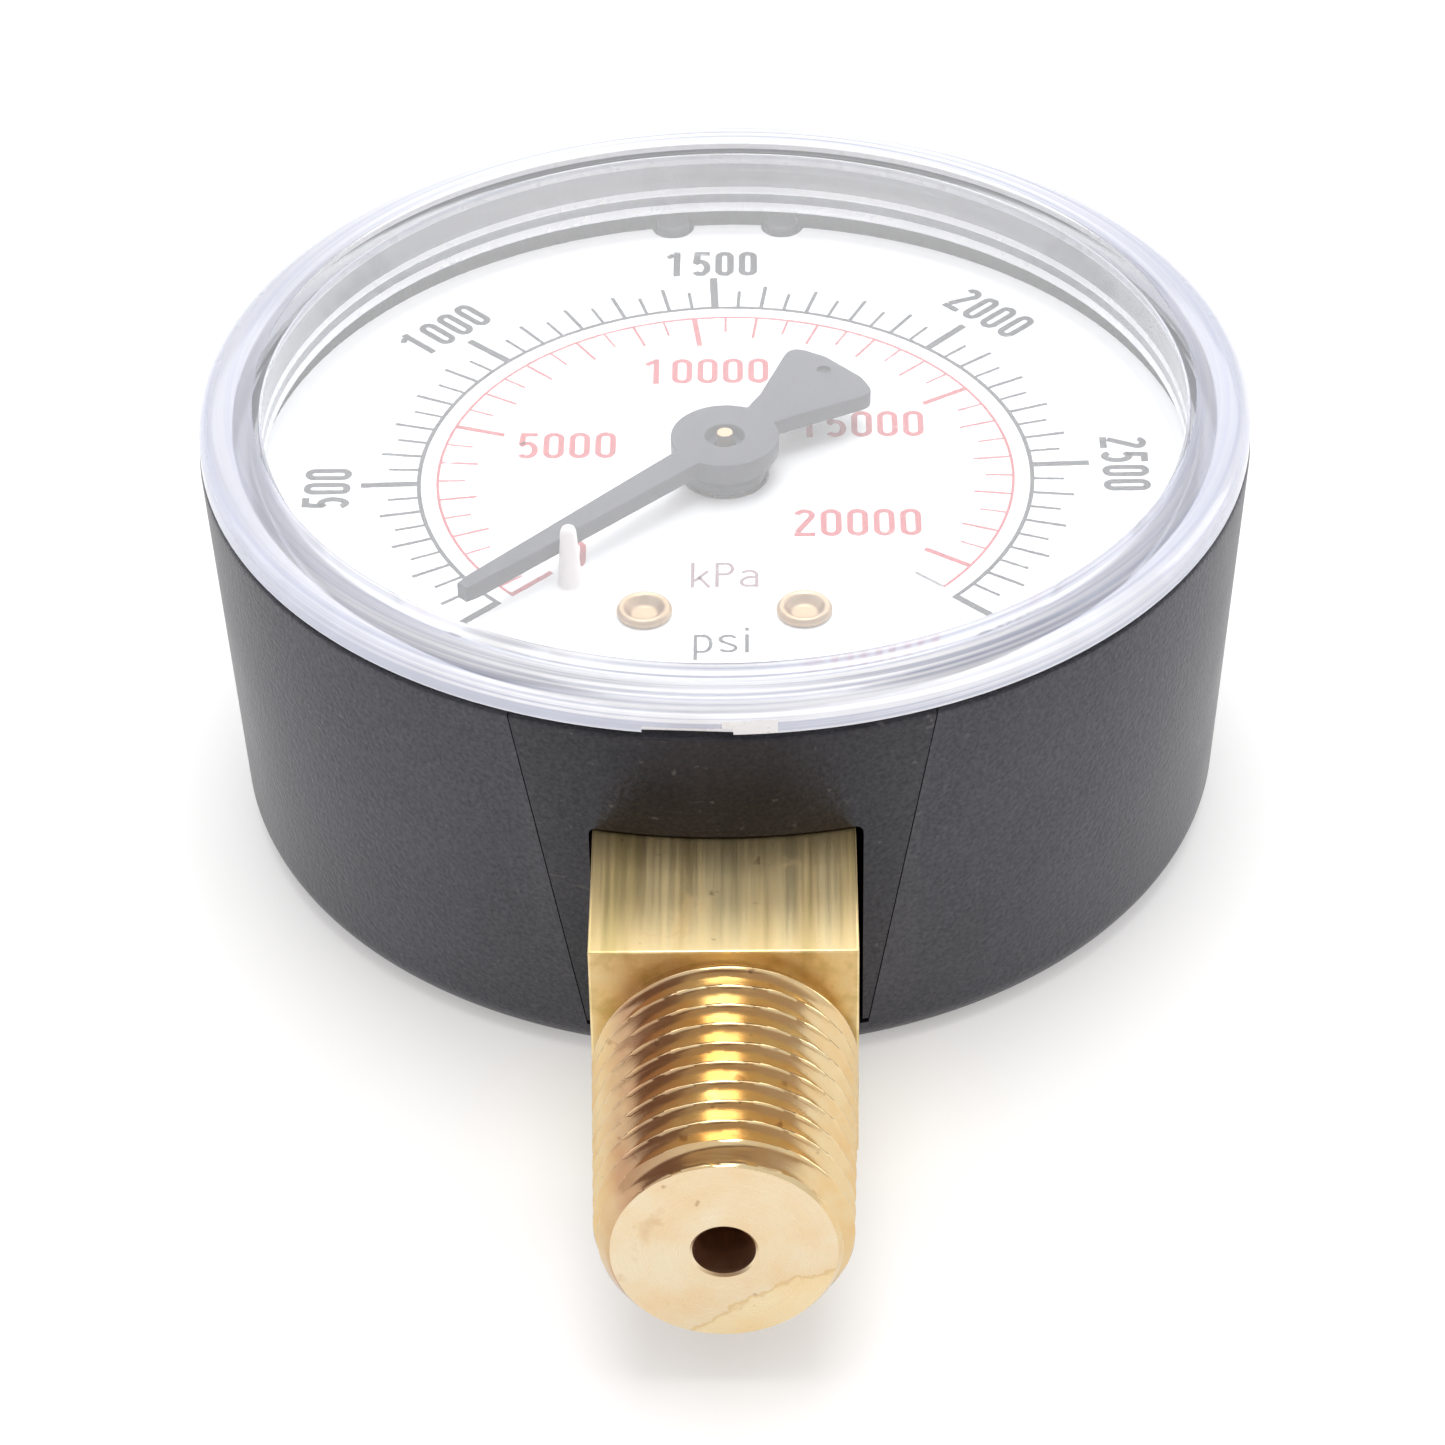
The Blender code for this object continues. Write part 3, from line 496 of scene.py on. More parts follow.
# ---------------------------------------------------------------- CAD nodes that stay
CARRIED = {
    "movement_bottom_plate": BRASS, "movement_top_plate": BRASS, "pillar_1": BRASS, "pillar_2": BRASS,
    "pillar_3": BRASS, "dial_spacer_left": BRASS, "dial_spacer_right": BRASS, "hairspring_stud": BRASS,
    "hairspring_collet": BRASS, "sector_gear": BRASS, "tube_tip": BRASS, "link_pin_sector": BRASS,
    "link_pin_tip": BRASS, "pinion_arbor": EYELET_BRASS, "bourdon_tube": BRONZE, "hairspring": BRONZE,
    "pillar_screw_1": STEEL, "pillar_screw_2": STEEL, "pillar_screw_3": STEEL, "mount_screw_1": STEEL,
    "mount_screw_2": STEEL, "sector_arbor": STEEL, "link": STEEL,
}
for node, look in CARRIED.items():
    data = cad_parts[node].data
    data.materials.clear()
    data.materials.append(look)


def stand_for(obj, body, slot, *nodes):
    """The piece moves with the body and stands for the CAD nodes; slot is not used."""
    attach(obj, body)
    if nodes:
        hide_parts(*nodes)


# ---------------------------------------------------------------- case and wedge
def slot_shape(name, inset, low, high):
    """The flared slot in the case's front as a cutter, narrower by inset on each side."""
    def half(z):
        return SLOT_FOOT_HALF + SLOT_FLARE * (z - SLOT_FOOT_Z) - inset

    points = []
    for y in (-RIM_RADIUS - 2, SLOT_INNER_Y):
        points += [(-half(low), y, low), (half(low), y, low), (half(high), y, high), (-half(high), y, high)]
    faces = [(3, 2, 1, 0), (4, 5, 6, 7), (0, 1, 5, 4), (1, 2, 6, 5), (2, 3, 7, 6), (3, 0, 4, 7)]
    return from_points(name, points, faces, ABS)


def case_profile():
    """Half the case's section: rim, outside, rounded back edge, back, floor and inside."""
    corner = [(BACK_RADIUS - BACK_EDGE + BACK_EDGE * math.cos(a), BACK_EDGE - BACK_EDGE * math.sin(a))
              for a in (math.radians(7.5 * i) for i in range(13))]
    inner = [(0.0, FLOOR_Z), (INNER_BACK - 1.2, FLOOR_Z), (INNER_BACK - 0.35, FLOOR_Z + 0.35),
             (INNER_BACK, FLOOR_Z + 1.2), (INNER_RIM, DIAL_Z), (INNER_RIM, RIM_Z)]
    return RIM_CORNER + corner + [(0.0, 0.0)] + inner


case = cut(lathe("case_shell", case_profile(), ABS), slot_shape("slot_cut", 0.0, SLOT_FOOT_Z, RIM_Z + 2))
POST_TOP, POST_FOOT = DIAL_Z + 0.5, FLOOR_Z - 0.5
post_profile = [(0.0, POST_TOP), (POST_RADIUS - 0.15, POST_TOP), (POST_RADIUS, POST_TOP - 0.15),
                (POST_RADIUS, POST_FOOT), (0.0, POST_FOOT)]
posts = [lathe(f"post_{i}", post_profile, ABS, 32, polar(DIAL_RADIUS, a)) for i, a in enumerate(POST_ANGLES)]
stand_for(join("case_body", case, *posts), "frame", "abs_black", "case")

WEDGE_LOW, WEDGE_INNER, BELOW = SLOT_FOOT_Z + 0.3, INNER_BACK + 0.15, -1
wedge_ring = lathe("wedge_ring", RIM_CORNER + [
    (BACK_RADIUS, BACK_EDGE), (BACK_RADIUS - 0.1, BELOW), (WEDGE_INNER, BELOW),
    (WEDGE_INNER, DIAL_Z - 1.5), (INNER_RIM, DIAL_Z - 0.5), (INNER_RIM, RIM_Z)], ABS_WEDGE)
wedge = cut(wedge_ring, slot_shape("wedge_cut", SEAM, WEDGE_LOW, RIM_Z + 2), operation="INTERSECT")
HALF_SQUARE = SQUARE / 2
OPENING_LEFT, OPENING_RIGHT = -HALF_SQUARE - 0.22, HALF_SQUARE + 0.42
OPENING_TOP = STEM_Z + HALF_SQUARE + 0.16
OPENING_FROM, OPENING_TO = 24, 34  # in front of the gauge's axis
opening = flat("opening", [rounded([(OPENING_LEFT, -2, 0), (OPENING_RIGHT, -2, 0),
                                    (OPENING_RIGHT, OPENING_TOP, 0.6), (OPENING_LEFT, OPENING_TOP, 0.5)])],
               OPENING_FROM, OPENING_TO, ABS_WEDGE)
opening.data.transform(Matrix.Rotation(math.radians(90), 4, "X"))
stand_for(cut(wedge, opening), "frame", "abs_black", "stem_wedge")

# ---------------------------------------------------------------- lens
LENS_TOP, FACE_RADIUS, UNDER_Z, FLANGE_RADIUS, FLANGE_Z = 26.0, 26.7, 23.8, 29.75, RIM_Z + 0.3
SKIRT_Z, SKIRT_OUT, SKIRT_IN = 19.6, 27.6, 26.4
GROUND_Z, GROUND_HEIGHT = 22.7, 0.7
GROOVE_Z, GROOVE_HALF, GROOVE_DEPTH = 21.15, 0.25, 0.07
NOTCH_HALF, NOTCH_HEIGHT, NOTCH_TURN = 2.4, 0.75, -3.5
CLEAR, FROSTED, RINGED = range(3)


def lens_profile():
    """Half the lens's section: the face and the rim, the skirt in the case's mouth, the window's back."""
    face = [(0.0, LENS_TOP), (FACE_RADIUS - 0.05, LENS_TOP), (FACE_RADIUS + 0.08, LENS_TOP - 0.03)]
    rim = [(27.8, 25.82), (28.7, 25.6), (29.2, 25.38), (29.52, 25.1), (29.7, 24.8), (FLANGE_RADIUS, 24.5)]
    flange = [(FLANGE_RADIUS, FLANGE_Z + 0.06), (FLANGE_RADIUS - 0.06, FLANGE_Z),
              (SKIRT_OUT + 0.06, FLANGE_Z), (SKIRT_OUT, FLANGE_Z - 0.06)]
    skirt = [(SKIRT_OUT, GROUND_Z), (SKIRT_OUT, SKIRT_Z + 0.3), (SKIRT_OUT - 0.08, SKIRT_Z + 0.15),
             (SKIRT_OUT - 0.3, SKIRT_Z), (SKIRT_IN + 0.1, SKIRT_Z), (SKIRT_IN, SKIRT_Z + 0.1),
             (SKIRT_IN, SKIRT_Z + GROUND_HEIGHT)]
    groove = [(SKIRT_IN + depth, GROOVE_Z + side * (GROOVE_HALF - depth))
              for side, depths in ((-1, (0, GROOVE_DEPTH)), (1, (GROOVE_DEPTH, 0))) for depth in depths]
    back = [(SKIRT_IN, UNDER_Z - 0.2), (SKIRT_IN - 0.06, UNDER_Z - 0.06), (SKIRT_IN - 0.2, UNDER_Z),
            (0.0, UNDER_Z)]
    return face + rim + flange + skirt + groove + back


def lens_look(x, radius, height):
    """A face is frosted where the lens is ground or meets the case, and ringed on the rest of the rim."""
    inside, outside = abs(radius - SKIRT_IN) < 0.1, SKIRT_OUT - 0.1 < radius < SKIRT_OUT + 0.02
    ground = inside and (height < SKIRT_Z + GROUND_HEIGHT - 0.05 or abs(height - GROOVE_Z) < 0.27)
    ground = ground or outside and height > GROUND_Z
    in_notch = abs(x) < NOTCH_HALF + 0.2 and height < RIM_Z + NOTCH_HEIGHT + 0.05
    if ground or radius > SKIRT_OUT + 0.02 and (height < FLANGE_Z + 0.15 or in_notch):
        return FROSTED
    return RINGED if radius > SKIRT_IN - 0.1 else CLEAR


NOTCH_TOP = RIM_Z + NOTCH_HEIGHT
notches = [box(f"notch_{i}", (-NOTCH_HALF, a, RIM_Z), (NOTCH_HALF, b, NOTCH_TOP), PC, turn=NOTCH_TURN)
           for i, (a, b) in enumerate(((-31.0, -29.35), (29.35, 31.0)))]
lens = cut(lathe("lens_body", lens_profile(), PC, smooth=25), *notches, smooth=25)
for look in (PC_FROSTED, PC_RIM):
    lens.data.materials.append(look)
for face in lens.data.polygons:
    x, y, z = face.center / MM
    face.material_index = lens_look(x, math.hypot(x, y), z)
stand_for(lens, "frame", "clear_polycarbonate", "lens")


# ---------------------------------------------------------------- dial
def dial_outline():
    """The dial's edge, with a round bite for each of the case's two locating posts."""
    bite = POST_RADIUS + 0.3
    points = []
    for k in range(360):
        p = Vector(polar(DIAL_RADIUS, k))
        if all((p - Vector(polar(DIAL_RADIUS, a))).length > bite for a in POST_ANGLES):
            points.append((k, tuple(p)))
    spread = math.degrees(2 * math.asin(bite / 2 / DIAL_RADIUS))
    swing = 90 - spread / 2
    for a in POST_ANGLES:
        middle = polar(DIAL_RADIUS, a)
        for i in range(17):
            t = i / 16
            points.append((a + spread * (2 * t - 1), polar(bite, a + 180 + swing * (1 - 2 * t), middle)))
    return [p for _, p in sorted(points)]


dial = flat("dial_plate", [dial_outline(), circle(2.5), *[circle(1.2, at) for at in EYELETS.values()]],
            DIAL_Z - DIAL_THICK, DIAL_Z, WHITE)
pin = lathe("stop_pin", [(0.0, STOP_PIN_TOP), (0.2, STOP_PIN_TOP - 0.03), (0.36, STOP_PIN_TOP - 0.16),
                         (0.45, STOP_PIN_TOP - 0.4), (0.68, DIAL_Z + 0.1), (0.8, DIAL_Z - 0.02),
                         (0.8, DIAL_Z - 0.4), (0.0, DIAL_Z - 0.4)], PIN_WHITE, 40, STOP_PIN)
stand_for(join("dial_face", dial, pin), "frame", "dial_white", "dial")

for side, at in EYELETS.items():
    ring = lathe(f"eyelet_{side}", rounded([
        (0.0, DIAL_Z - 0.1, 0), (0.75, DIAL_Z - 0.05, 0.3), (1.1, DIAL_Z + 0.5, 0.25),
        (1.38, DIAL_Z + 0.58, 0.25), (1.56, DIAL_Z + 0.3, 0.2), (1.5, DIAL_Z + 0.05, 0.05),
        (1.05, DIAL_Z + 0.06, 0.1), (1.05, DIAL_Z - 3.6, 0), (0.0, DIAL_Z - 3.6, 0)], 4),
        EYELET_BRASS, 48, at)
    stand_for(ring, "frame", "brass", f"dial_eyelet_{side}")


# ---------------------------------------------------------------- dial printing
PRINT_LOW, PRINT_HIGH = DIAL_Z - 0.002, DIAL_Z + 0.012


def stroke(points, width, closed=False):
    """The two sides of a line of this width along the points, as (left, right, closed)."""
    pts = [Vector(p) for p in points]
    left, right, n = [], [], len(pts)
    for i, p in enumerate(pts):
        before = (p - pts[i - 1]).normalized() if i or closed else None
        after = (pts[(i + 1) % n] - p).normalized() if i < n - 1 or closed else None
        a, b = before or after, after or before
        normal = Vector((-(a.y + b.y), a.x + b.x)).normalized()
        reach = width / 2 / max(0.5, normal.dot(Vector((-a.y, a.x))))
        left.append(tuple(p + normal * reach))
        right.append(tuple(p - normal * reach))
    return left, right, closed


def bow(cx, cy, rx, ry, start, end, steps=14):
    """An arc of an ellipse."""
    return [(cx + rx * math.cos(math.radians(start + (end - start) * i / steps)),
             cy + ry * math.sin(math.radians(start + (end - start) * i / steps))) for i in range(steps + 1)]


def glyph(char, w, h, t):
    """The strokes of a character in a cell of width w and height h, each t wide."""
    m, x_high = t / 2, h * 0.70
    if char == "0":
        r = w / 2 - m
        high, low = h - w * 0.52, w * 0.52
        line = bow(w / 2, high, r, h - m - high, 0, 180) + bow(w / 2, low, r, low - m, 180, 360)
        return [stroke(line, t, True)]
    if char == "1":
        stem = w * 0.62 - m
        return [stroke([(stem, 0), (stem, h)], t),
                stroke([(stem - m * 0.9, h - m * 1.5), (stem - w * 0.5, h * 0.77)], t * 0.9)]
    if char == "5":
        line = [(w * 0.95, h - m), (w * 0.12 + m, h - m), (w * 0.05 + m, h * 0.55)]
        radius = (h * 0.60 - m) / 2
        return [stroke(line, t), stroke([(w * 0.05 + m * 0.6, h * 0.50)]
                       + bow(w * 0.46, radius + m, w * 0.54 - m, radius, 105, -140, 18), t)]
    if char == "2":
        line = bow(w / 2, h - w * 0.49, w / 2 - m, w * 0.49 - m, 170, -32, 14)
        return [stroke(line + [(m * 1.0, m * 2.2)], t), stroke([(0, m), (w, m)], t)]
    if char == "3":
        upper = bow(w * 0.46, h * 0.76, w * 0.46 - m, h * 0.24 - m, 155, -70, 12)
        lower = bow(w * 0.46, h * 0.28, w * 0.54 - m, h * 0.28 - m, 75, -155, 14)
        return [stroke(upper, t), stroke(lower, t)]
    if char == "k":
        return [stroke([(m, 0), (m, h)], t), stroke([(w - m, h * 0.66), (t * 1.05, h * 0.26)], t),
                stroke([(w * 0.42, h * 0.42), (w, 0)], t)]
    if char == "P":
        loop = [(t, h - m), (w * 0.5, h - m)]
        loop += bow(w * 0.55, h * 0.74, w * 0.45 - m, h * 0.26 - m, 90, -90, 12) + [(t, h * 0.48 + m)]
        return [stroke([(m, 0), (m, h)], t), stroke(loop, t)]
    if char == "a":
        top = bow(w / 2, x_high * 0.70, w / 2 - m, x_high * 0.30 - m, 150, 0, 10)
        bowl = [(w - t, x_high * 0.58), (w * 0.42, x_high * 0.58)]
        bowl += bow(w * 0.38, x_high * 0.30, w * 0.38 - m, x_high * 0.28 - m, 100, 260, 10)
        return [stroke(top + [(w - m, 0)], t), stroke(bowl + [(w - t, x_high * 0.10)], t)]
    if char == "p":
        bowl = [(t, x_high - m), (w * 0.5, x_high - m)]
        bowl += bow(w * 0.5, x_high / 2, w / 2 - m, x_high / 2 - m, 90, -90, 12) + [(t, m)]
        return [stroke([(m, -h * 0.28), (m, x_high)], t), stroke(bowl, t)]
    if char == "s":
        line = bow(w / 2, x_high * 0.745, w / 2 - m, x_high * 0.255 - m, 20, 225, 9)
        line += bow(w / 2, x_high * 0.255, w / 2 - m, x_high * 0.255 - m, 45, -160, 9)
        return [stroke(line, t)]
    if char == "i":
        parts = ((0, x_high), (h * 0.84, h * 0.97))
        return [stroke([(w * 0.3, low), (w * 0.3, high)], t) for low, high in parts]
    raise ValueError(f"no strokes for {char!r}")


def label(text, at, turn, size, advances=None):
    """The strokes of a label centred at a point. size is (width, height, stroke, pitch)."""
    w, h, t, pitch = size
    advances = advances or [pitch] * len(text)
    a = math.radians(turn)

    def placed(line, x0):
        out = []
        for x, y in line:
            u, v = x0 + x, y - h / 2
            out.append((at[0] + u * math.cos(a) - v * math.sin(a), at[1] + u * math.sin(a) + v * math.cos(a)))
        return out

    strokes, x0 = [], -(sum(advances[:-1]) + w) / 2
    for char, advance in zip(text, advances):
        for left, right, closed in glyph(char, w, h, t):
            strokes.append((placed(left, x0), placed(right, x0), closed))
        x0 += advance
    return strokes


def tick(degrees, inner, outer, width):
    return stroke([polar(inner, degrees), polar(outer, degrees)], width)


def printed(name, strokes, look):
    """Each stroke as a thin solid strip on the dial."""
    points, faces = [], []
    for left, right, closed in strokes:
        n, first = len(left), len(points)
        for x, y in left + right:
            points += [(x, y, PRINT_HIGH), (x, y, PRINT_LOW)]

        def corner(side, i, level, first=first, n=n):
            return first + 2 * (side * n + i % n) + level

        for i in range(n if closed else n - 1):
            faces += [(corner(0, i, 0), corner(0, i + 1, 0), corner(1, i + 1, 0), corner(1, i, 0)),
                      (corner(0, i, 1), corner(1, i, 1), corner(1, i + 1, 1), corner(0, i + 1, 1)),
                      (corner(0, i, 0), corner(0, i, 1), corner(0, i + 1, 1), corner(0, i + 1, 0)),
                      (corner(1, i, 0), corner(1, i + 1, 0), corner(1, i + 1, 1), corner(1, i, 1))]
        for i in () if closed else (0, n - 1):
            faces.append((corner(0, i, 0), corner(1, i, 0), corner(1, i, 1), corner(0, i, 1)))
    stand_for(from_points(name, points, faces, look), "frame", "dial_white")


TURN = 2.25  # the print sits turned by this against the stem
START, END, KPA_END = 224.3, -43.3, -42.6
PSI_ARC, PSI_LINE = 17.58, 0.25
KPA_ARC, KPA_LINE = 16.5, 0.17
DEGREES_PER_PSI, DEGREES_PER_KPA = 0.09, 0.013053
# step of the marks, their length and their width, the longest marks first
PSI_MARKS = ((500, 3.2, 0.46), (100, 2.3, 0.23), (50, 1.7, 0.20))
KPA_MARKS = ((5000, 2.9, 0.33), (1000, 2.1, 0.17), (500, 1.5, 0.14))
# width, height, stroke and pitch of the characters
PSI_SIZE = (1.13, 2.70, 0.41, 1.42)
KPA_SIZE = (1.20, 2.62, 0.35, 1.50)
UNIT_SIZE = (1.05, 2.35, 0.20, 1.36)
PSI_LABELS = (("500", (-22.8, -1.1), 90), ("1000", (-16.8, 15.5), 45), ("1500", (-0.85, 22.5), 0),
              ("2000", (15.8, 16.7), -45), ("2500", (22.95, 0.7), -90), ("0", (-16.1, -16.9), 135),
              ("3000", (17.0, -15.6), -135))
KPA_LABELS = (("5000", (-9.2, 3.05)), ("10000", (-1.1, 10.7)), ("15000", (7.9, 5.0)), ("20000", (7.5, -4.9)),
              ("0", (-8.4, -7.75)))


def mark(value, degrees_each, marks, edge, outward):
    """The mark of a value, from its arc's edge outwards (1) or inwards (-1)."""
    length, width = next(row[1:] for row in marks if value % row[0] == 0)
    inner, outer = sorted((edge, edge + outward * length))
    return tick(REST_ANGLE + TURN - degrees_each * value, inner, outer, width)


edge = PSI_ARC + PSI_LINE / 2
black = [stroke(arc(PSI_ARC, START + 0.7, END - 0.7, 240), PSI_LINE)]
black += [mark(value, DEGREES_PER_PSI, PSI_MARKS, edge, 1) for value in range(100, 3000, 50)]
black += [tick(degrees, edge, edge + 3.2, 0.44) for degrees in (START, END)]
for text, at, turn in PSI_LABELS:
    black += label(text, at, turn, PSI_SIZE)

edge = KPA_ARC - KPA_LINE / 2
red = [stroke(arc(KPA_ARC, START + 0.5, KPA_END, 240), KPA_LINE)]
red += [mark(value, DEGREES_PER_KPA, KPA_MARKS, edge, -1) for value in range(500, 20500, 500)]
red.append(tick(START, edge - 2.9, edge, 0.32))
for text, at in KPA_LABELS:
    red += label(text, at, 0, KPA_SIZE)

printed("print_psi_scale", black, BLACK_INK)
printed("print_kpa_scale", red, RED_INK)
printed("print_end_mark", [tick(-42.5, edge - 2.0, edge, 0.2)], GREY_INK)
printed("print_unit_kpa", label("kPa", (0.0, -9.85), 0, UNIT_SIZE), MAUVE_INK)
printed("print_unit_psi", label("psi", (0.15, -15.9), 0, UNIT_SIZE, [1.36, 1.25, 1.0]), BLACK_INK)


# ---------------------------------------------------------------- pointer
def along_pointer(loop):
    """An outline drawn with its tip along +X, turned to where the pointer rests."""
    a = math.radians(REST_ANGLE)
    return [(u * math.cos(a) - v * math.sin(a), u * math.sin(a) + v * math.cos(a)) for u, v in loop]


HUB_RADIUS, TIP = 3.1, 20.3
blade_side = [(HUB_RADIUS * math.cos(math.radians(d)), HUB_RADIUS * math.sin(math.radians(d)))
              for d in range(17, 160, 8)]
tail_side = rounded([(-2.9, 1.1, 0), (-4.4, 1.55, 1.2), (-9.1, 3.15, 0.9), (-9.75, 1.4, 1.6),
                     (-9.85, -1.6, 1.6), (-9.2, -3.85, 0.9), (-4.4, -1.55, 1.2), (-2.9, -1.1, 0)], 6)
outline = [(TIP, -0.36), (TIP, 0.36), (TIP - 0.9, 0.52)] + blade_side + tail_side
outline += [(x, -y) for x, y in reversed(blade_side)] + [(TIP - 0.9, -0.52)]
dimple = circle(0.42, (-8.75, -0.65), 20)
pointer = flat("pointer_blade", [along_pointer(outline), circle(1.12)], POINTER_Z, POINTER_TOP,
               POINTER_BLACK, bevel=0.07, smooth=40)
dimple_cut = flat("dimple_cut", [along_pointer(dimple)], POINTER_TOP - 0.25, POINTER_TOP + 1, POINTER_BLACK)
pointer = cut(pointer, dimple_cut, smooth=40)
stand_for(pointer, "pinion", "pointer_black", "pointer")
ARBOR_HOLE, HUB_TOP, COLLAR_TOP, HUB_FOOT = 0.62, 20.4, 19.98, DIAL_Z + 0.05
bushing = lathe("pointer_hub", rounded([
    (ARBOR_HOLE, HUB_TOP, 0), (1.06, HUB_TOP, 0.05), (1.06, COLLAR_TOP, 0), (2.85, COLLAR_TOP, 0.1),
    (2.85, 19.5, 0.15), (2.2, 19.42, 0.05), (2.2, 19.1, 0.1), (2.45, 19.0, 0.1), (2.45, 18.86, 0.05),
    (2.3, 18.8, 0.1), (2.3, HUB_FOOT, 0.1), (ARBOR_HOLE, HUB_FOOT, 0)], 3), POINTER_BLACK, 64)
stand_for(bushing, "pinion", "pointer_black", "pointer_bushing")


# ---------------------------------------------------------------- socket
RUNOUT_LENGTH, CHAMFER_LENGTH, NECK_RADIUS, NECK_Y = 0.8, 1.15, 6.35, SHOULDER_Y - 0.75
SQUARE_BACK_Y, MOUTH_CHAMFER, BORE_DEPTH = -27.6, 0.12, 14
SIDES, PER_TURN = 128, 18


def thread_radius(y, turn):
    """Radius of the tapered thread at a place on the stem. turn is from 0 to 1 round it."""
    from_end = y - STEM_END_Y
    crest = THREAD_END_RADIUS + TAPER * from_end
    phase = (from_end / PITCH + turn) % 1.0
    groove = min(1.0, max(0.0, 1.12 - abs(phase - 0.5) / 0.40))
    runout = min(1.0, max(0.0, (SHOULDER_Y - 1.0 - y) / RUNOUT_LENGTH))
    chamfer = END_FACE_RADIUS + (THREAD_END_RADIUS - END_FACE_RADIUS) * min(3.0, from_end / CHAMFER_LENGTH)
    return min(crest - THREAD_DEPTH * groove * (0.35 + 0.65 * runout), chamfer)


def ring_at(y, radius):
    """A ring of points round the stem; radius is a length, or a function of the place round it."""
    out = []
    for k in range(SIDES):
        r = radius(k / SIDES) if callable(radius) else radius
        x, z = polar(r, 360 * k / SIDES)
        out.append((x, y, STEM_Z + z))
    return out


def skin(name, rings, look, closed_end=False):
    """The surface through the rings, closed across the last one where closed_end is set."""
    points = [p for ring in rings for p in ring]
    faces = []
    for i in range(len(rings) - 1):
        a, b = i * SIDES, (i + 1) * SIDES
        faces += [(a + k, a + (k + 1) % SIDES, b + (k + 1) % SIDES, b + k) for k in range(SIDES)]
    if closed_end:
        faces.append(tuple(range(len(points) - SIDES, len(points))))
    return from_points(name, points, faces, look, smooth=50)


def thread_rings():
    """The thread from the stem's end face to just inside the wrench square."""
    count = int((NECK_Y - STEM_END_Y) / PITCH * PER_TURN)
    rings = [ring_at(STEM_END_Y, END_FACE_RADIUS)]
    for i in range(1, count + 1):
        y = STEM_END_Y + (NECK_Y - STEM_END_Y) * i / count
        rings.append(ring_at(y, lambda turn, y=y: thread_radius(y, turn)))
    return rings + [ring_at(NECK_Y + 0.25, NECK_RADIUS), ring_at(SHOULDER_Y + 0.3, NECK_RADIUS)]


thread = skin("thread", thread_rings(), BRASS_TURNED)
mouth = ring_at(STEM_END_Y + MOUTH_CHAMFER, BORE_RADIUS)
face = skin("end_face", [ring_at(STEM_END_Y, END_FACE_RADIUS), ring_at(STEM_END_Y, 3.4),
                         ring_at(STEM_END_Y, BORE_RADIUS + 0.14), mouth], BRASS_FACE)
bore = skin("bore", [mouth, ring_at(STEM_END_Y + 6, BORE_RADIUS),
                     ring_at(STEM_END_Y + BORE_DEPTH, BORE_RADIUS)], BRASS_DARK, closed_end=True)
square = box("square", (-HALF_SQUARE, SHOULDER_Y, STEM_Z - HALF_SQUARE),
             (HALF_SQUARE, SQUARE_BACK_Y, STEM_Z + HALF_SQUARE), BRASS_FLAT, 0.12)
# inside the case, the block that holds the tube and the step that carries the movement
block = box("block", (-6.2, -28.0, STEM_Z - 6.5), (6.2, -19.2, STEM_Z + 6.5), BRASS_FLAT, 0.1)
step = box("step", (-6.0, -20.0, 2.6), (6.0, -8.5, 7.6), BRASS_FLAT, 0.1)
stand_for(join("socket_body", thread, face, bore, square, block, step), "frame", "brass", "socket")

# ---------------------------------------------------------------- studio
bpy.ops.mesh.primitive_plane_add(size=6.0, location=(0, 0, -0.05 * MM))
floor = bpy.context.object
floor.name = "studio_floor"
paper = Look("white_paper", (0.58, 0.58, 0.58), 0.7,
             Emission_Color=(1.0, 1.0, 1.0, 1.0), Emission_Strength=0.36)
paper.use(Roughness=paper.ramp(paper.noise(30), 0.3, 0.7, 0.62, 0.78))
floor.data.materials.append(paper.made)


def softbox(name, azimuth, elevation, distance, size, radiance, tint=(1, 1, 1)):
    """A rectangular lamp that faces the gauge from that direction; azimuth 0 is beyond it."""
    a, e = math.radians(azimuth), math.radians(elevation)
    out = Vector((math.sin(a) * math.cos(e), math.cos(a) * math.cos(e), math.sin(e)))
    data = bpy.data.lights.new(name, "AREA")
    data.shape, data.size, data.size_y = "RECTANGLE", *size
    data.energy = 4 * size[0] * size[1] * radiance
    data.color = tint
    lamp = bpy.data.objects.new(name, data)
    lamp.location = out * distance
    lamp.rotation_mode = "QUATERNION"
    lamp.rotation_quaternion = (-out).to_track_quat("-Z", "Y")
    lamp.visible_camera = False
    SCENE.collection.objects.link(lamp)


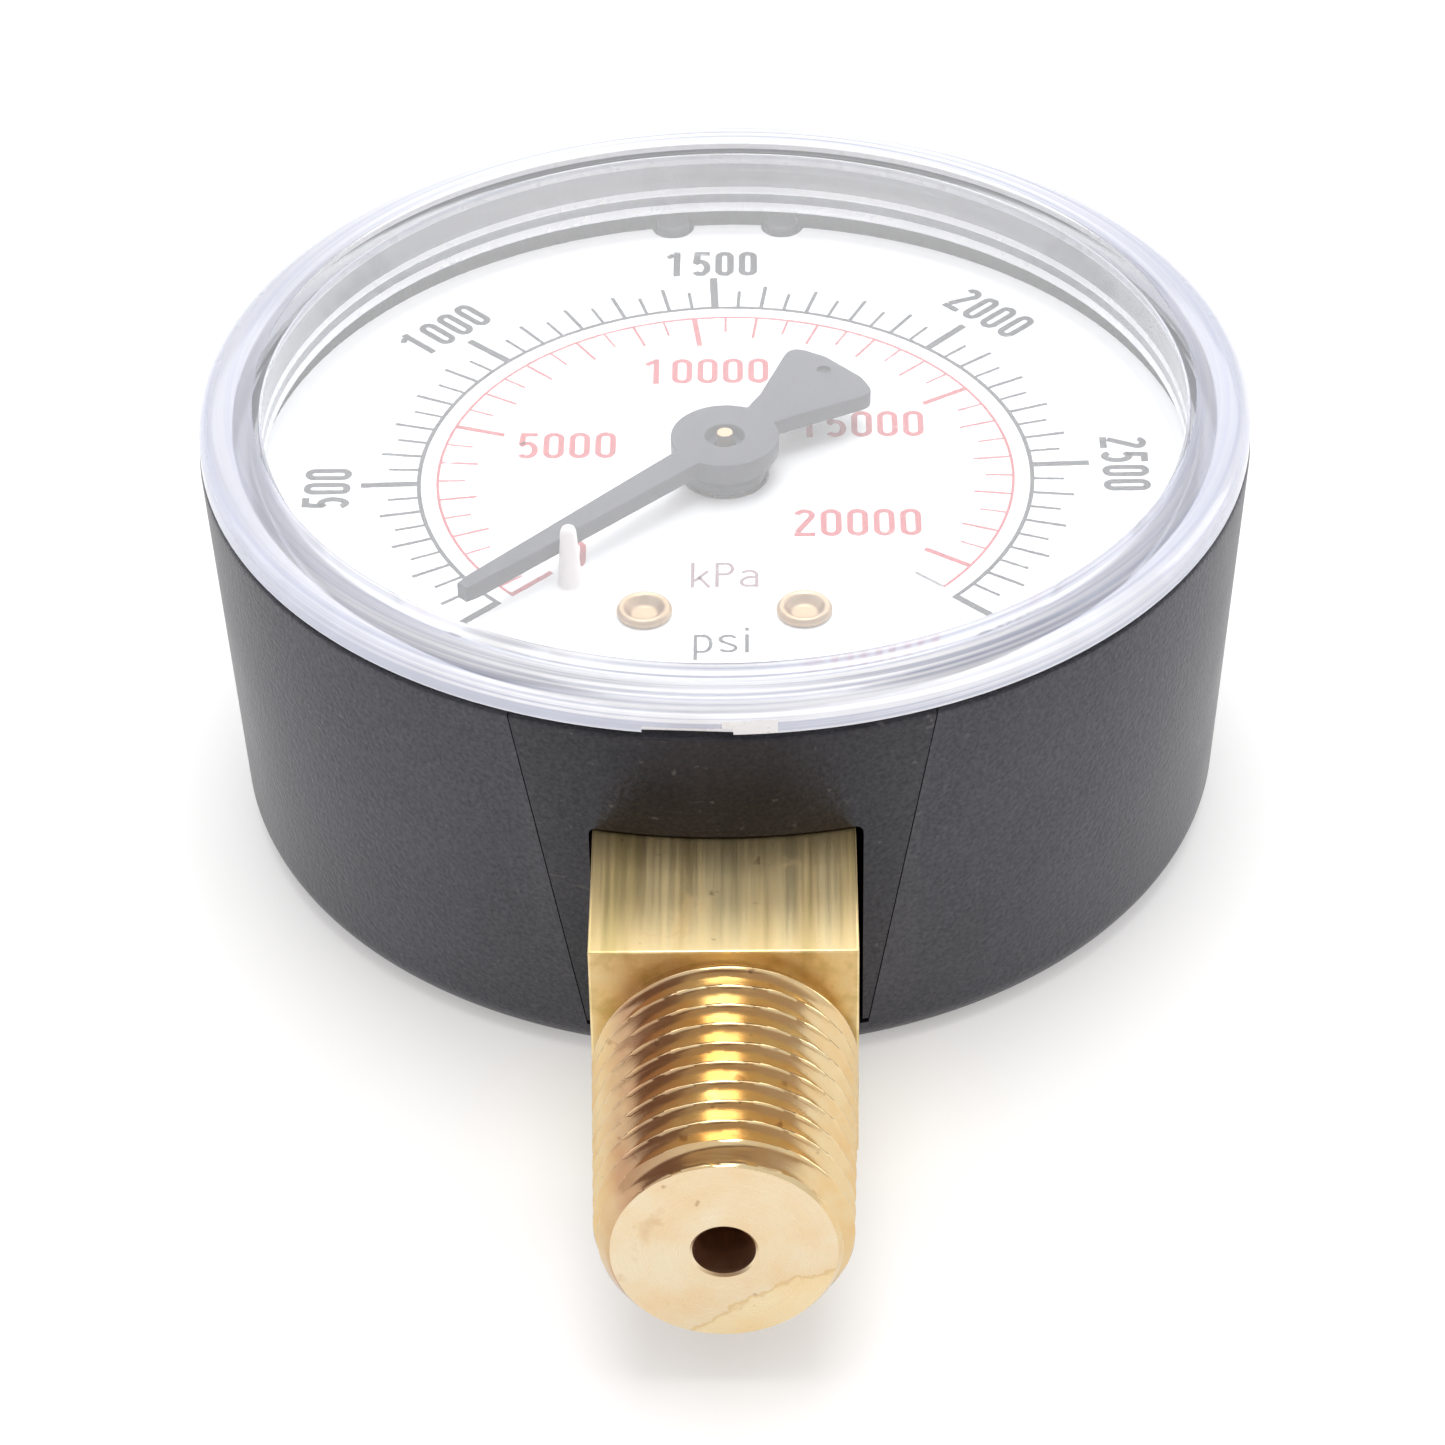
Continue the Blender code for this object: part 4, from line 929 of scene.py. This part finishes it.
softbox("lamp_back", 0, 42, 1.2, (1.7, 0.8), 1.15)
softbox("lamp_top", 0, 88, 1.0, (0.5, 0.6), 3.8)
softbox("lamp_front", 181, 22, 1.1, (0.58, 0.34), 0.25, (1.0, 0.86, 0.56))
softbox("lamp_front_right", 145, 13, 1.1, (0.80, 0.80), 0.23, (1.0, 0.90, 0.74))
softbox("lamp_right", 68, 16, 1.2, (0.50, 0.50), 2.2)
softbox("lamp_left", -72, 14, 1.2, (0.36, 0.40), 1.1)


def studio_world():
    """White all round, and a dim warm room behind the camera."""
    world = bpy.data.worlds.new("studio")
    SCENE.world = world
    world.use_nodes = True
    nodes, links = world.node_tree.nodes, world.node_tree.links
    where = nodes.new("ShaderNodeTexCoord").outputs["Generated"]
    axes = nodes.new("ShaderNodeSeparateXYZ")
    links.new(where, axes.inputs[0])
    front = nodes.new("ShaderNodeMapRange")
    front.interpolation_type = "SMOOTHSTEP"
    links.new(axes.outputs["Y"], front.inputs["Value"])
    front.inputs["From Min"].default_value = -0.45
    front.inputs["From Max"].default_value = -0.80
    mix = nodes.new("ShaderNodeMix")
    mix.data_type = "RGBA"
    links.new(front.outputs["Result"], mix.inputs["Factor"])
    mix.inputs[6].default_value = (1.0, 1.0, 1.0, 1.0)
    mix.inputs[7].default_value = (0.25, 0.16, 0.13, 1.0)
    links.new(mix.outputs[2], nodes["Background"].inputs["Color"])
    nodes["Background"].inputs["Strength"].default_value = 1.0


studio_world()
SCENE.view_settings.view_transform = "Standard"

# ---------------------------------------------------------------- camera
ELEVATION, AZIMUTH, ROLL, DISTANCE = 37.525, -0.880, -1.027, 0.272408
FOCAL_LENGTH, AIM = 120.94, Vector((-0.000216, -0.013518, 0.012))
el, az, roll = (math.radians(v) for v in (ELEVATION, AZIMUTH, ROLL))
look_along = Vector((math.cos(el) * math.sin(az), math.cos(el) * math.cos(az), -math.sin(el)))
right = look_along.cross(Vector((0, 0, 1))).normalized()
up = right.cross(look_along)
cam_x = right * math.cos(roll) + up * math.sin(roll)
cam_y = up * math.cos(roll) - right * math.sin(roll)
camera_data = bpy.data.cameras.new("camera")
camera_data.sensor_width, camera_data.lens = 36.0, FOCAL_LENGTH
camera = bpy.data.objects.new("camera", camera_data)
SCENE.collection.objects.link(camera)
turned = Matrix((cam_x, cam_y, -look_along)).transposed().to_4x4()
camera.matrix_world = Matrix.Translation(AIM - look_along * DISTANCE) @ turned
SCENE.camera = camera
